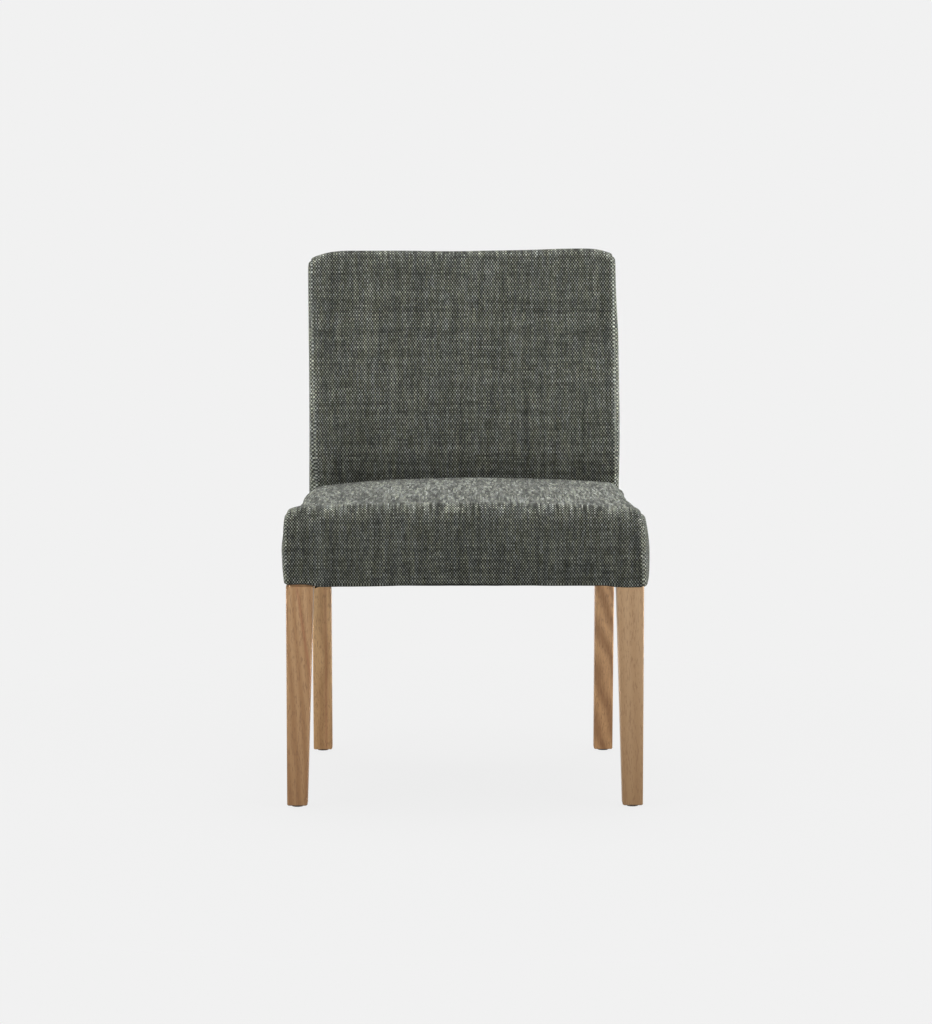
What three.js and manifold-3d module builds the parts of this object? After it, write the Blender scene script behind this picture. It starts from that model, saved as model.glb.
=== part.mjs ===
// Upholstered dining chair: a tenoned hardwood frame with woven webbing, foam and a sewn cloth cover.
// Millimetres, +Z up. The chair faces -Y, and +X is on the right of someone looking at its front.
// It is drawn with the seat's front face at y = 0 and the floor at z = 0, and centred at the end.

import * as THREE from "three";
import { mergeVertices } from "three/addons/utils/BufferGeometryUtils.js";
import Module from "manifold-3d";

// Clearances that every piece shares
const fit = 0.3; // gap between pieces that seat on each other
const overrun = 4; // how far a cutter runs past what it cuts
const weld = 0.001; // vertices closer than this are one

// Seat upholstery
const hemHeight = 352; // floor to the lower edge of the cover
const seatPad = 46; // from the rails up to the seams along the sides of the seat
const seatCrown = 11; // rise of the middle of the seat over its edges
const seatFrontWidth = 562; // over the front legs
const seatRearWidth = 526; // over the back, which is as wide
const seatRollRadius = 27; // where the cloth rolls over the front edge
const seatSideSwell = 8; // outward swell of the side panels
const seatFrontSwell = 3; // outward swell of the front panel
const seatSeamDraw = 12; // how far the side seams pull in between the corners
const seamDrawStart = 14; // above the rails, where the side panels begin to pull in
const crownRun = 150; // from the front edge to the full crown
const swellRun = 28; // from a side panel's front edge to its full swell
const seamDrop = 4; // how far a sewn edge lies below the panel beside it
const seamRun = 12; // from a sewn edge to the panel's own height
const coverWall = 4.7; // cloth with its wadding
const hemReturn = 22; // cloth turned under the rails
const hemWall = 2.4;

// Back upholstery
const backHeight = 862; // floor to the top of the back
const backLean = THREE.MathUtils.degToRad(12); // of the front of the back
const backPad = 28; // from the posts' front to the sewn edge of the front panel
const backCrown = 8;
const backSideSwell = 2;
const backRollRadius = 20; // where the cloth rolls over the top
const backCornerWide = 40; // top corners, across and down
const backCornerDeep = 20;
const rearPanelWall = 3;
const rearPanelMargin = 2.5; // from the panel's edge to the outline of the back

// Frame
const frontLegTop = 43;
const frontLegFoot = 32;
const arris = 1.6; // eased edges
const postWidth = 32; // rear posts, measured across the chair
const postSeatDepth = 38;
const postFootDepth = 28;
const postTopDepth = 24;
const postFront = 462; // from the seat's front face to the front of the posts
const postRake = 31; // how far the foot stands behind the post at the seat
const postBendLength = 60; // the bend above the seat
const leanLift = 40; // from the rails up to the middle of that bend
const railHeight = 71;
const railThickness = 24;
const tenonThickness = 10;
const tenonLength = 18;
const tenonShoulder = 9; // from the rail's edges to the tenon
const backRailThickness = 20;
const topRailHeight = 56;
const lowerRailHeight = 48;
const lowerRailLift = 24; // from the start of the lean to the lower rail

// Corner blocks and their screws
const blockLeg = 62;
const blockHeight = 42;
const screwShare = 0.62; // place of a screw along a block's leg
const screwLength = 38;
const screwShank = 2.2;
const screwHead = 4.4;
const screwHeadHeight = 3;
const screwPoint = 7;
const screwPocketRadius = 6;

// Webbing and platform
const webWidth = 50;
const webThickness = 2;
const webGap = 0.4; // between straps where they cross
const webLap = 19; // how far a strap lies on a rail
const webPlayShare = 0.07; // flat run beside a crossing, of the gap between straps
const seatStrapCount = 5;
const seatCrossCount = 4;
const backStrapCount = 3;
const backCrossCount = 2;
const platformWall = 1;
const platformMargin = 10; // from the rails' outer faces

// Dust cover and glides
const dustWall = 0.8;
const dustMargin = 13; // from the hem to the dust cover
const dustNotch = 2; // clear of the legs
const glideRadius = 10;
const glideHeight = 2.6;
const glideEdge = 1;
const nailRadius = 1.2;
const nailLength = 15;
const nailPoint = 3;

// Counts of facets
const screwSides = 8;
const glideSides = 16;
const rollSteps = 5;
const bendSteps = 4;
const topSteps = 8;
const bottomSteps = 5;
const frontSteps = 4;
const backFaceSteps = 8;
const backRearSteps = 3;

// Shares chosen by hand, of the sizes that they follow
const seatLaneShares = [0.25, 0.5, 0.72, 0.88];
const backLaneShares = [0.3, 0.6, 0.8];
const backCornerShares = [0.45, 0.78, 0.95];
const sidePanelShares = [0.22, 0.55, 0.92]; // from a side panel's edge to its middle line
const rearSwellShare = 0.4; // of the side panels' swell, left at the rear
const seamDrawShare = 0.6; // puts the deepest draw of the side seams towards the front
const crownPeakShare = 0.45; // place of the fullest part of the back, up from the seat

// Heights and lines worked out from the sizes above
const legTop = hemHeight + hemWall + 2 * fit + railHeight;
const railBottom = legTop - railHeight;
const legBottom = glideHeight + fit;
const seatEdgeHeight = legTop + seatPad;
const leanStart = legTop + leanLift;
const wallOffset = coverWall + fit;
const postRear = postFront + postSeatDepth;
const seatLength = postRear;
const seatFormLength = seatLength + wallOffset + overrun; // the form runs on behind, and is cut off there
const seatHalfFront = seatFrontWidth / 2;
const seatHalfRear = seatRearWidth / 2;
const backHalf = seatHalfRear;
const postOuter = backHalf - wallOffset;
const postInner = postOuter - postWidth;
const footMiddle = (postFront + postRear) / 2 + postRake;
const frontPostOuter = seatHalfFront - wallOffset;
const frontPostWidth = frontLegTop - wallOffset;
const frontPostInner = frontPostOuter - frontPostWidth;
const backTopV = (backHeight - leanStart) / Math.cos(backLean);
const postTopV = backTopV - backCornerDeep - wallOffset;
const webMiddle = legTop + fit + webThickness + webGap / 2;
const webSwing = (webThickness + webGap) / 2;
const platformBottom = webMiddle + webSwing + webThickness / 2 + fit;
const foamBottom = platformBottom + platformWall + fit;

// Finishes
const cloth = { color: 0x5b5d56, roughness: 0.95, metalness: 0 };
const oak = { color: 0xa9835f, roughness: 0.5, metalness: 0 };
const hiddenWood = { color: 0xc9ab7c, roughness: 0.75, metalness: 0 };
const steel = { color: 0xb4b0a6, roughness: 0.35, metalness: 1 };
const jute = { color: 0xa98d62, roughness: 0.95, metalness: 0 };
const foam = { color: 0xe3d9b4, roughness: 0.9, metalness: 0 };
const blackCloth = { color: 0x151515, roughness: 0.95, metalness: 0 };
const nylon = { color: 0x3a332c, roughness: 0.45, metalness: 0 };

const wasm = await Module();
wasm.setup();

const chair = new THREE.Group();

// Solids and meshes

function solidOf(geometry) {
  const loose = geometry.index ? geometry.toNonIndexed() : geometry;
  const bare = new THREE.BufferGeometry();
  bare.setAttribute("position", loose.getAttribute("position"));
  const merged = mergeVertices(bare, weld);
  const vertProperties = new Float32Array(merged.getAttribute("position").array);
  const triVerts = new Uint32Array(merged.index.array);
  return new wasm.Manifold(new wasm.Mesh({ numProp: 3, vertProperties, triVerts }));
}

function geometryOf(solid) {
  const mesh = solid.getMesh();
  const indexed = new THREE.BufferGeometry();
  indexed.setAttribute("position", new THREE.BufferAttribute(mesh.vertProperties, 3));
  indexed.setIndex(new THREE.BufferAttribute(mesh.triVerts, 1));
  const faceted = indexed.toNonIndexed();
  faceted.computeVertexNormals();
  return faceted;
}

function join(first, ...others) {
  return others.reduce((sum, other) => sum.add(solidOf(other)), solidOf(first));
}

function cut(solid, ...cutters) {
  return cutters.reduce((rest, cutter) => rest.subtract(solidOf(cutter)), solid);
}

function addPiece(name, solid, finish) {
  const geometry = solid.isBufferGeometry ? solid : geometryOf(solid);
  const mesh = new THREE.Mesh(geometry, new THREE.MeshStandardMaterial(finish));
  mesh.name = name;
  chair.add(mesh);
  return mesh;
}

// A box between two corners.
function block(low, high) {
  const size = high.map((value, axis) => value - low[axis]);
  const middle = high.map((value, axis) => (value + low[axis]) / 2);
  return new THREE.BoxGeometry(...size).translate(...middle);
}

// An outline in plan, raised from one height to another.
function planPrism(outline, low, high) {
  const shape = new THREE.Shape(outline.map(([x, y]) => new THREE.Vector2(x, y)));
  const prism = new THREE.ExtrudeGeometry(shape, { depth: high - low, bevelEnabled: false });
  return prism.translate(0, 0, low);
}

// A profile of [radius, height] points turned round +Z.
function turned(profile, sides) {
  const points = profile.map(([radius, height]) => new THREE.Vector2(radius, height));
  return new THREE.LatheGeometry(points, sides).rotateX(Math.PI / 2);
}

// A skin over rings of points that run anticlockwise round the way they climb. End points close it.
function loft(rings, startPoint, endPoint) {
  const count = rings[0].length;
  const triangles = [];
  for (let i = 0; i + 1 < rings.length; i += 1) {
    for (let j = 0; j < count; j += 1) {
      const k = (j + 1) % count;
      triangles.push(rings[i][j], rings[i][k], rings[i + 1][k]);
      triangles.push(rings[i][j], rings[i + 1][k], rings[i + 1][j]);
    }
  }
  const last = rings[rings.length - 1];
  for (let j = 0; j < count; j += 1) {
    const k = (j + 1) % count;
    triangles.push(startPoint, rings[0][k], rings[0][j]);
    triangles.push(endPoint, last[j], last[k]);
  }
  return new THREE.BufferGeometry().setFromPoints(triangles);
}

// The same piece on the left and on the right.
function onBothSides(build) {
  build("left", -1);
  build("right", 1);
}

// Lines of the seat in plan

// Half the width of the seat's foot line at a distance behind the front face.
function seatHalf(y) {
  const share = Math.max(0, y - frontLegTop) / (seatLength - frontLegTop);
  return THREE.MathUtils.lerp(seatHalfFront, seatHalfRear, share);
}

// A padded body. One panel runs across the chair, carried by an outline in side view, and two side
// panels close it. The lanes are shares of the half width, from the left seam to the right one.
function paddedForm(outline, lanes, panelPlace, sidePlace, sideMiddle) {
  const sides = (sign) => sidePanelShares.map((share) => outline.map((p) => sidePlace(p, share, sign)));
  const panel = lanes.map((lane) => outline.map((p) => panelPlace(p, lane)));
  return loft([...sides(-1).reverse(), ...panel, ...sides(1)], sideMiddle(-1), sideMiddle(1));
}

// Lanes from one seam to the other, with one close to each seam.
function lanesOf(shares, half) {
  const right = [...shares, 1 - seamRun / half, 1];
  return [...right.slice().reverse().map((share) => -share), 0, ...right];
}

// How far a lane lies below its panel near a seam.
function seamSink(lane, half) {
  const distance = (1 - Math.abs(lane)) * half;
  return seamDrop * Math.max(0, 1 - distance / seamRun) ** 2;
}

// Evenly spaced values from one end to the other.
function steps(from, to, count) {
  return Array.from({ length: count + 1 }, (_, i) => THREE.MathUtils.lerp(from, to, i / count));
}

// Half the width between the seat's seams, which pull in above the rails.
function seamHalf(y, z) {
  const along = THREE.MathUtils.clamp(y / seatFormLength, 0, 1);
  const drawHeight = legTop + seamDrawStart;
  const up = THREE.MathUtils.clamp((z - drawHeight) / (seatEdgeHeight - drawHeight), 0, 1);
  return seatHalf(y) - seatSeamDraw * Math.sin(Math.PI * along ** seamDrawShare) * up;
}

// Share of the way up from the hem to the sewn edge.
function apronShare(z) {
  return THREE.MathUtils.clamp((z - hemHeight) / (seatEdgeHeight - hemHeight), 0, 1);
}

// Outward swell of a seat side panel.
function sideSwell(y, z) {
  const start = Math.sin((Math.PI / 2) * THREE.MathUtils.clamp(y / swellRun, 0, 1));
  const fade = THREE.MathUtils.lerp(1, rearSwellShare, THREE.MathUtils.clamp(y / seatLength, 0, 1));
  return seatSideSwell * Math.sin(Math.PI * apronShare(z)) * start * fade;
}

// The seat's side view, moved inwards: along the bottom, up the rear, forward over the top and down
// the front. Each point has the direction in which its panel swells.
function seatOutline(inset, bottom) {
  const rear = seatFormLength - inset;
  const top = seatEdgeHeight - inset;
  const radius = seatRollRadius - inset;
  const behindLegs = steps(frontLegTop, rear, bottomSteps);
  const points = [inset, ...behindLegs].map((y) => ({ y, z: bottom, ny: 0, nz: 0 }));
  const overTop = [...steps(rear, frontLegTop, topSteps), seatRollRadius];
  overTop.forEach((y) => points.push({ y, z: top, ny: 0, nz: 1 }));
  steps(Math.PI / 2, 0, rollSteps).slice(1).forEach((angle) => {
    const y = seatRollRadius - radius * Math.cos(angle);
    const z = seatEdgeHeight - seatRollRadius + radius * Math.sin(angle);
    points.push({ y, z, ny: -Math.cos(angle), nz: Math.sin(angle) });
  });
  const front = steps(seatEdgeHeight - seatRollRadius, bottom, frontSteps).slice(1, -1);
  front.forEach((z) => points.push({ y: inset, z, ny: -1, nz: 0 }));
  return points;
}

// The seat's form, moved inwards by an inset, standing on a height. The swell of its upright panels
// is a share of the cover's.
function seatForm(inset, bottom, swellShare) {
  const panelPlace = (p, lane) => {
    const across = Math.cos((Math.PI / 2) * lane);
    const rise = Math.sin((Math.PI / 2) * THREE.MathUtils.clamp(p.y / crownRun, 0, 1));
    const crown = seatCrown * across * rise;
    const swell = swellShare * seatFrontSwell * across * Math.sin(Math.PI * apronShare(p.z));
    const sink = seamSink(lane, seatHalfFront);
    const y = p.y + p.ny * (swell - sink);
    const z = p.z + p.nz * (crown - sink);
    return new THREE.Vector3(lane * (seamHalf(p.y, p.z) - inset), y, z);
  };
  const middleZ = (bottom + seatEdgeHeight) / 2;
  const middleEnds = [frontLegTop, seatLength - swellRun];
  const onSide = (y, z, sign) => {
    const x = seamHalf(y, z) - inset + swellShare * sideSwell(y, z);
    return new THREE.Vector3(sign * x, y, z);
  };
  const sidePlace = (p, share, sign) => {
    const rim = panelPlace(p, 1);
    const y = THREE.MathUtils.lerp(rim.y, THREE.MathUtils.clamp(rim.y, ...middleEnds), share);
    return onSide(y, THREE.MathUtils.lerp(rim.z, middleZ, share), sign);
  };
  const sideMiddle = (sign) => onSide(seatLength / 2, middleZ, sign);
  const lanes = lanesOf(seatLaneShares, seatHalfFront);
  return paddedForm(seatOutline(inset, bottom), lanes, panelPlace, sidePlace, sideMiddle);
}

// Lines of the back, in its own leaning frame: u across, v up the posts' front faces, w towards the front

const leanTurn = new THREE.Matrix4()
  .makeTranslation(0, postFront, leanStart)
  .multiply(new THREE.Matrix4().makeRotationX(-backLean))
  .multiply(new THREE.Matrix4().makeBasis(
    new THREE.Vector3(1, 0, 0),
    new THREE.Vector3(0, 0, 1),
    new THREE.Vector3(0, -1, 0),
  ));

// Depth of a post behind its front face, at a place up the lean.
function postDepthAt(v) {
  return THREE.MathUtils.lerp(postSeatDepth, postTopDepth, v / postTopV);
}

// How far the rounded top corners of the back lie below its top.
function cornerDrop(u) {
  const share = THREE.MathUtils.clamp((Math.abs(u) - backHalf + backCornerWide) / backCornerWide, 0, 1);
  return backCornerDeep * (1 - Math.sqrt(1 - share * share));
}

// The back's side view, moved inwards: up the rear, over the top, and down the front.
function backOutline(inset, foot, rearFace) {
  const top = backTopV - inset;
  const front = backPad - inset;
  const radius = backRollRadius - inset;
  const points = steps(foot, top, backRearSteps).map((v) => ({ v, w: rearFace(v), nv: 0, nw: 0 }));
  steps(0, Math.PI / 2, rollSteps).forEach((angle) => {
    const v = backTopV - backRollRadius + radius * Math.cos(angle);
    const w = backPad - backRollRadius + radius * Math.sin(angle);
    points.push({ v, w, nv: Math.cos(angle), nw: Math.sin(angle) });
  });
  const face = steps(backTopV - backRollRadius, foot, backFaceSteps).slice(1);
  face.forEach((v) => points.push({ v, w: front, nv: 0, nw: 1 }));
  return points;
}

// The back's form, moved inwards by an inset, from a rear face given by a function of v to the front.
function backForm(inset, foot, rearFace) {
  const power = Math.log(1 / 2) / Math.log(crownPeakShare);
  const panelPlace = (p, lane) => {
    const up = THREE.MathUtils.clamp(p.v / backTopV, 0, 1);
    const crown = backCrown * Math.cos((Math.PI / 2) * lane) * Math.sin(Math.PI * up ** power);
    const sink = seamSink(lane, backHalf);
    const nearTop = THREE.MathUtils.clamp(1 - (backTopV - p.v) / backCornerWide, 0, 1);
    const v = p.v - p.nv * sink - cornerDrop(lane * backHalf) * nearTop;
    return new THREE.Vector3(lane * (backHalf - inset), v, p.w + p.nw * (crown - sink));
  };
  const middleW = (backPad + rearFace(backTopV / 2)) / 2;
  const middleEnds = [foot + swellRun, backTopV - backCornerWide];
  const sidePlace = (p, share, sign) => {
    const rim = panelPlace(p, 1);
    const v = THREE.MathUtils.lerp(rim.y, THREE.MathUtils.clamp(rim.y, ...middleEnds), share);
    const w = THREE.MathUtils.lerp(rim.z, middleW, share);
    const x = backHalf - inset + backSideSwell * Math.sin((Math.PI / 2) * share);
    return new THREE.Vector3(sign * x, v, w);
  };
  const sideMiddle = (sign) => {
    const x = backHalf - inset + backSideSwell;
    return new THREE.Vector3(sign * x, backTopV / 2, middleW);
  };
  const cornerLanes = backCornerShares.map((share) => 1 - ((1 - share) * backCornerWide) / backHalf);
  const inner = cornerLanes.filter((lane) => lane < 1 - seamRun / backHalf);
  const lanes = lanesOf([...backLaneShares, ...inner], backHalf);
  const form = paddedForm(backOutline(inset, foot, rearFace), lanes, panelPlace, sidePlace, sideMiddle);
  return form.applyMatrix4(leanTurn);
}

// Legs and posts

// A section with eased corners between two places across and two places back, at a height.
function legSection(xEnds, yLow, yHigh, ease, z) {
  const xLow = Math.min(...xEnds);
  const xHigh = Math.max(...xEnds);
  const points = [
    [xLow + ease, yLow], [xHigh - ease, yLow], [xHigh, yLow + ease], [xHigh, yHigh - ease],
    [xHigh - ease, yHigh], [xLow + ease, yHigh], [xLow, yHigh - ease], [xLow, yLow + ease],
  ];
  return points.map(([x, y]) => new THREE.Vector3(x, y, z));
}

// A front leg: a tapered foot, a shoulder for the hem, and the post inside the seat.
function frontLegForm(sign) {
  const outer = seatHalfFront;
  const shoulder = hemHeight - fit;
  const across = (from, to) => [sign * from, sign * to];
  const soleEnds = across(outer - frontLegFoot + arris, outer - arris);
  const sole = legSection(soleEnds, arris, frontLegFoot - arris, arris, legBottom);
  const foot = legSection(across(outer - frontLegFoot, outer), 0, frontLegFoot, arris, legBottom + arris);
  const top = legSection(across(outer - frontLegTop, outer), 0, frontLegTop, arris, shoulder);
  const inner = [across(frontPostInner, frontPostOuter), wallOffset, frontLegTop, arris];
  const rings = [sole, foot, top, legSection(...inner, shoulder), legSection(...inner, legTop)];
  const middle = (ring) => ring.reduce((sum, p) => sum.add(p), new THREE.Vector3()).divideScalar(ring.length);
  return loft(rings, middle(sole), middle(rings[rings.length - 1]));
}

// A rear post's side view as [y, z] points, and its two bends as curves.
function postProfile(grow) {
  const footFront = footMiddle - postFootDepth / 2 - grow;
  const footRear = footMiddle + postFootDepth / 2 + grow;
  const topFront = new THREE.Vector3(0, postTopV + grow, grow).applyMatrix4(leanTurn);
  const topRear = new THREE.Vector3(0, postTopV + grow, -postTopDepth - grow).applyMatrix4(leanTurn);
  const bendFront = new THREE.Vector3(0, postBendLength, grow).applyMatrix4(leanTurn);
  const bendDepth = postDepthAt(postBendLength) + grow;
  const bendRear = new THREE.Vector3(0, postBendLength, -bendDepth).applyMatrix4(leanTurn);
  const front = postFront - grow;
  const rear = postRear + grow;
  const shape = new THREE.Shape();
  shape.moveTo(footRear, legBottom - grow);
  shape.lineTo(rear, railBottom);
  shape.lineTo(rear, legTop);
  shape.quadraticCurveTo(rear, leanStart, bendRear.y, bendRear.z);
  shape.lineTo(topRear.y, topRear.z);
  shape.lineTo(topFront.y, topFront.z);
  shape.lineTo(bendFront.y, bendFront.z);
  shape.quadraticCurveTo(front, leanStart, front, legTop);
  shape.lineTo(front, railBottom);
  shape.lineTo(footFront, legBottom - grow);
  shape.closePath();
  return shape;
}

// A rear post, or a cutter for it, on one side of the chair.
function postForm(sign, grow) {
  const bevel = grow > 0 ? 0 : arris;
  const width = postWidth + 2 * grow - 2 * bevel;
  const body = new THREE.ExtrudeGeometry(postProfile(grow - bevel), {
    depth: width,
    curveSegments: bendSteps,
    bevelEnabled: bevel > 0,
    bevelThickness: bevel,
    bevelSize: bevel,
    bevelSegments: 1,
  });
  const upright = new THREE.Matrix4().makeBasis(
    new THREE.Vector3(0, 1, 0),
    new THREE.Vector3(0, 0, 1),
    new THREE.Vector3(1, 0, 0),
  );
  body.applyMatrix4(upright);
  return body.translate(sign * (postOuter - postWidth / 2) - width / 2, 0, 0);
}

// Rails

const tenonBottom = railBottom + tenonShoulder;
const tenonTop = legTop - tenonShoulder;
const frontRailRear = wallOffset + railThickness;
const rearRailFront = postRear - railThickness;

// Distance from the middle plane to a line along the side rail.
function sideLine(y, inset) {
  return seatHalf(y) - wallOffset - inset;
}

// A plan outline along the side rail, between two insets and two ends.
function sideStrip(sign, nearInset, farInset, start, end) {
  return [
    [sign * sideLine(start, nearInset), start],
    [sign * sideLine(end, nearInset), end],
    [sign * sideLine(end, farInset), end],
    [sign * sideLine(start, farInset), start],
  ];
}

const tenonInset = (railThickness - tenonThickness) / 2;

function sideRailForm(sign) {
  const body = sideStrip(sign, 0, railThickness, frontLegTop + fit, postFront - fit);
  const tenon = sideTenon(sign, 0);
  return join(planPrism(body, railBottom, legTop), tenon);
}

function sideTenon(sign, grow) {
  const start = frontLegTop - tenonLength - grow;
  const end = postFront + tenonLength + grow;
  const strip = sideStrip(sign, tenonInset - grow, railThickness - tenonInset + grow, start, end);
  return planPrism(strip, tenonBottom - grow, tenonTop + grow);
}

// The tenons of a cross rail as one strip that runs through the rail.
function crossTenon(postFace, yFront, grow) {
  const reach = postFace + tenonLength + grow;
  return block(
    [-reach, yFront + tenonInset - grow, tenonBottom - grow],
    [reach, yFront + railThickness - tenonInset + grow, tenonTop + grow],
  );
}

function crossRailForm(postFace, yFront) {
  const half = postFace - fit;
  const body = block([-half, yFront, railBottom], [half, yFront + railThickness, legTop]);
  return join(body, crossTenon(postFace, yFront, 0));
}

// A rail of the back, flush with the posts' front faces.
function backRail(vLow, height, grow) {
  const half = postInner - fit;
  const body = block([-half, vLow, -backRailThickness], [half, vLow + height, 0]);
  const inset = (backRailThickness - tenonThickness) / 2;
  const reach = postInner + tenonLength + grow;
  const tenon = block(
    [-reach, vLow + tenonShoulder - grow, inset - backRailThickness - grow],
    [reach, vLow + height - tenonShoulder + grow, grow - inset],
  );
  return { body: body.applyMatrix4(leanTurn), tenon: tenon.applyMatrix4(leanTurn) };
}

const topRailLow = postTopV - topRailHeight;
const backRails = [
  { name: "back_top_rail", low: topRailLow, height: topRailHeight },
  { name: "back_lower_rail", low: lowerRailLift, height: lowerRailHeight },
];

// Corner blocks and screws

// A screw along +Z with its head's top at the origin, grown by a gap when it is a cutter.
function screwForm(grow) {
  const shank = screwShank + grow;
  const head = screwHead + grow;
  const profile = [
    [0, -screwLength - grow],
    [shank, -screwLength + screwPoint - grow],
    [shank, -screwHeadHeight - grow],
    [head, -grow],
    [head, grow],
    [0, grow],
  ];
  return turned(profile, screwSides);
}

// Turns a screw so that it points from its head along a level direction.
function aimed(geometry, from, direction) {
  const turn = new THREE.Quaternion().setFromUnitVectors(new THREE.Vector3(0, 0, -1), direction);
  return geometry.applyQuaternion(turn).translate(from.x, from.y, from.z);
}

// The four inner corners: where the post stands and which way its rails run.
function cornerPlaces() {
  const places = [];
  onBothSides((side, sign) => {
    places.push({
      name: "front_" + side, sign, towards: 1, postFace: frontPostInner,
      postEdge: frontLegTop, railFace: frontRailRear,
    });
    places.push({
      name: "rear_" + side, sign, towards: -1, postFace: postInner,
      postEdge: postFront, railFace: rearRailFront,
    });
  });
  return places;
}

// A block's plan: along the cross rail, along the side rail, and round the post.
function blockOutline({ sign, towards, postFace, postEdge, railFace }) {
  const rail = railFace + towards * fit;
  const post = postEdge + towards * fit;
  const far = post + towards * blockLeg;
  const tip = towards * arris;
  return [
    [sign * (postFace - fit), rail],
    [sign * (postFace - fit - blockLeg), rail],
    [sign * (postFace - fit - blockLeg), rail + tip],
    [sign * (sideLine(far, railThickness) - fit - arris), far],
    [sign * (sideLine(far, railThickness) - fit), far],
    [sign * (sideLine(post, railThickness) - fit), post],
    [sign * (postFace - fit), post],
  ];
}

// The two screws of a block: one into the cross rail, one into the side rail.
function blockScrews(place) {
  const { sign, towards, postFace, postEdge, railFace } = place;
  const height = (railBottom + legTop) / 2;
  const bite = railThickness / 2;
  const seat = screwLength - bite;
  const alongCross = sign * (postFace - blockLeg * screwShare);
  const alongSide = postEdge + towards * blockLeg * screwShare;
  const sideFace = sideLine(alongSide, railThickness);
  return [
    {
      from: new THREE.Vector3(alongCross, railFace + towards * seat, height),
      direction: new THREE.Vector3(0, -towards, 0),
    },
    {
      from: new THREE.Vector3(sign * (sideFace - seat), alongSide, height),
      direction: new THREE.Vector3(sign, 0, 0),
    },
  ];
}

// A round pocket that lets a screw's head sit square in a slanted face.
function screwPocket({ from, direction }) {
  const pocket = new THREE.CylinderGeometry(screwPocketRadius, screwPocketRadius, blockLeg, screwSides);
  pocket.rotateX(Math.PI / 2).translate(0, 0, blockLeg / 2 + fit);
  return aimed(pocket, from, direction);
}

const corners = cornerPlaces();
const screws = corners.map(blockScrews);

function blockForm(place, index) {
  const middle = (railBottom + legTop) / 2;
  const outline = blockOutline(place);
  const solid = solidOf(planPrism(
    place.sign * place.towards > 0 ? outline.slice().reverse() : outline,
    middle - blockHeight / 2,
    middle + blockHeight / 2,
  ));
  const holes = screws[index].flatMap((screw) => [
    aimed(screwForm(fit), screw.from, screw.direction),
    screwPocket(screw),
  ]);
  return cut(solid, ...holes);
}

// The holes of the screws that point one way, across the chair or along it.
function screwHoles(x, y) {
  return screws.flat()
    .filter((screw) => screw.direction.equals(new THREE.Vector3(x, y, 0)))
    .map((screw) => aimed(screwForm(fit), screw.from, screw.direction));
}

// Webbing

const sideways = new THREE.Vector3(1, 0, 0);
const endways = new THREE.Vector3(0, 1, 0);

// Centres of a row of straps, spread evenly between two ends.
function rowOf(start, end, count) {
  return Array.from({ length: count }, (_, i) => THREE.MathUtils.lerp(start, end, (i + 1 / 2) / count));
}

// A strap's side view: flat ends on the rails, over and under the straps that it crosses.
function strapForm(start, end, crossings, firstOver) {
  const play = webPlayShare * (crossings[1] - crossings[0] - webWidth);
  const half = webWidth / 2 + play;
  const line = [[start, -webSwing]];
  let level = -webSwing;
  crossings.forEach((centre, i) => {
    const next = (i % 2 === 0) === firstOver ? webSwing : -webSwing;
    if (i === 0 && next !== level) line.push([start + webLap + play, level]);
    if (next !== level || i === 0) line.push([centre - half, next]);
    line.push([centre + half, next]);
    level = next;
  });
  if (level > 0) line.push([end - webLap - play, -webSwing]);
  line.push([end, -webSwing]);
  const upper = line.map(([s, h]) => new THREE.Vector2(s, h + webThickness / 2));
  const lower = line.map(([s, h]) => new THREE.Vector2(s, h - webThickness / 2)).reverse();
  const shape = new THREE.Shape([...lower, ...upper]);
  const ribbon = new THREE.ExtrudeGeometry(shape, { depth: webWidth, bevelEnabled: false });
  return ribbon.translate(0, 0, -webWidth / 2);
}

// Lays a strap drawn in x and y flat, face up, with its length along one axis.
function laid(ribbon, length, x, y, z) {
  const face = new THREE.Vector3(0, 0, 1);
  const across = new THREE.Vector3().crossVectors(length, face);
  return ribbon.applyMatrix4(new THREE.Matrix4().makeBasis(length, face, across)).translate(x, y, z);
}

function addSeatWebbing() {
  const half = Math.min(sideLine(frontLegTop, railThickness), sideLine(rearRailFront, railThickness));
  const columns = rowOf(-half, half, seatStrapCount);
  const rows = rowOf(frontRailRear, rearRailFront, seatCrossCount);
  columns.forEach((x, i) => {
    const start = frontRailRear - webLap;
    const end = rearRailFront + webLap;
    const ribbon = strapForm(start, end, rows, i % 2 === 0);
    addPiece("seat_webbing_long_" + (i + 1), laid(ribbon, endways, x, 0, webMiddle), jute);
  });
  rows.forEach((y, i) => {
    const end = sideLine(y, railThickness) + webLap;
    const ribbon = strapForm(-end, end, columns, i % 2 === 1);
    addPiece("seat_webbing_cross_" + (i + 1), laid(ribbon, sideways, 0, y, webMiddle), jute);
  });
}

function addBackWebbing() {
  const low = lowerRailLift + lowerRailHeight;
  const columns = rowOf(-postInner, postInner, backStrapCount);
  const rows = rowOf(low, topRailLow, backCrossCount);
  const depth = fit + webThickness + webGap / 2;
  columns.forEach((u, i) => {
    const ribbon = strapForm(low - webLap, topRailLow + webLap, rows, i % 2 === 0);
    const strap = laid(ribbon, endways, u, 0, depth);
    addPiece("back_webbing_up_" + (i + 1), strap.applyMatrix4(leanTurn), jute);
  });
  rows.forEach((v, i) => {
    const ribbon = strapForm(-postInner - webLap, postInner + webLap, columns, i % 2 === 1);
    const strap = laid(ribbon, sideways, 0, v, depth);
    addPiece("back_webbing_across_" + (i + 1), strap.applyMatrix4(leanTurn), jute);
  });
}

// Soft pieces

const foamInset = coverWall + 2 * fit;

// A slab across the whole chair between two distances behind the front face.
function wideSlab(yLow, yHigh, zLow, zHigh) {
  return block([-seatFrontWidth, yLow, zLow], [seatFrontWidth, yHigh, zHigh]);
}

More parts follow.
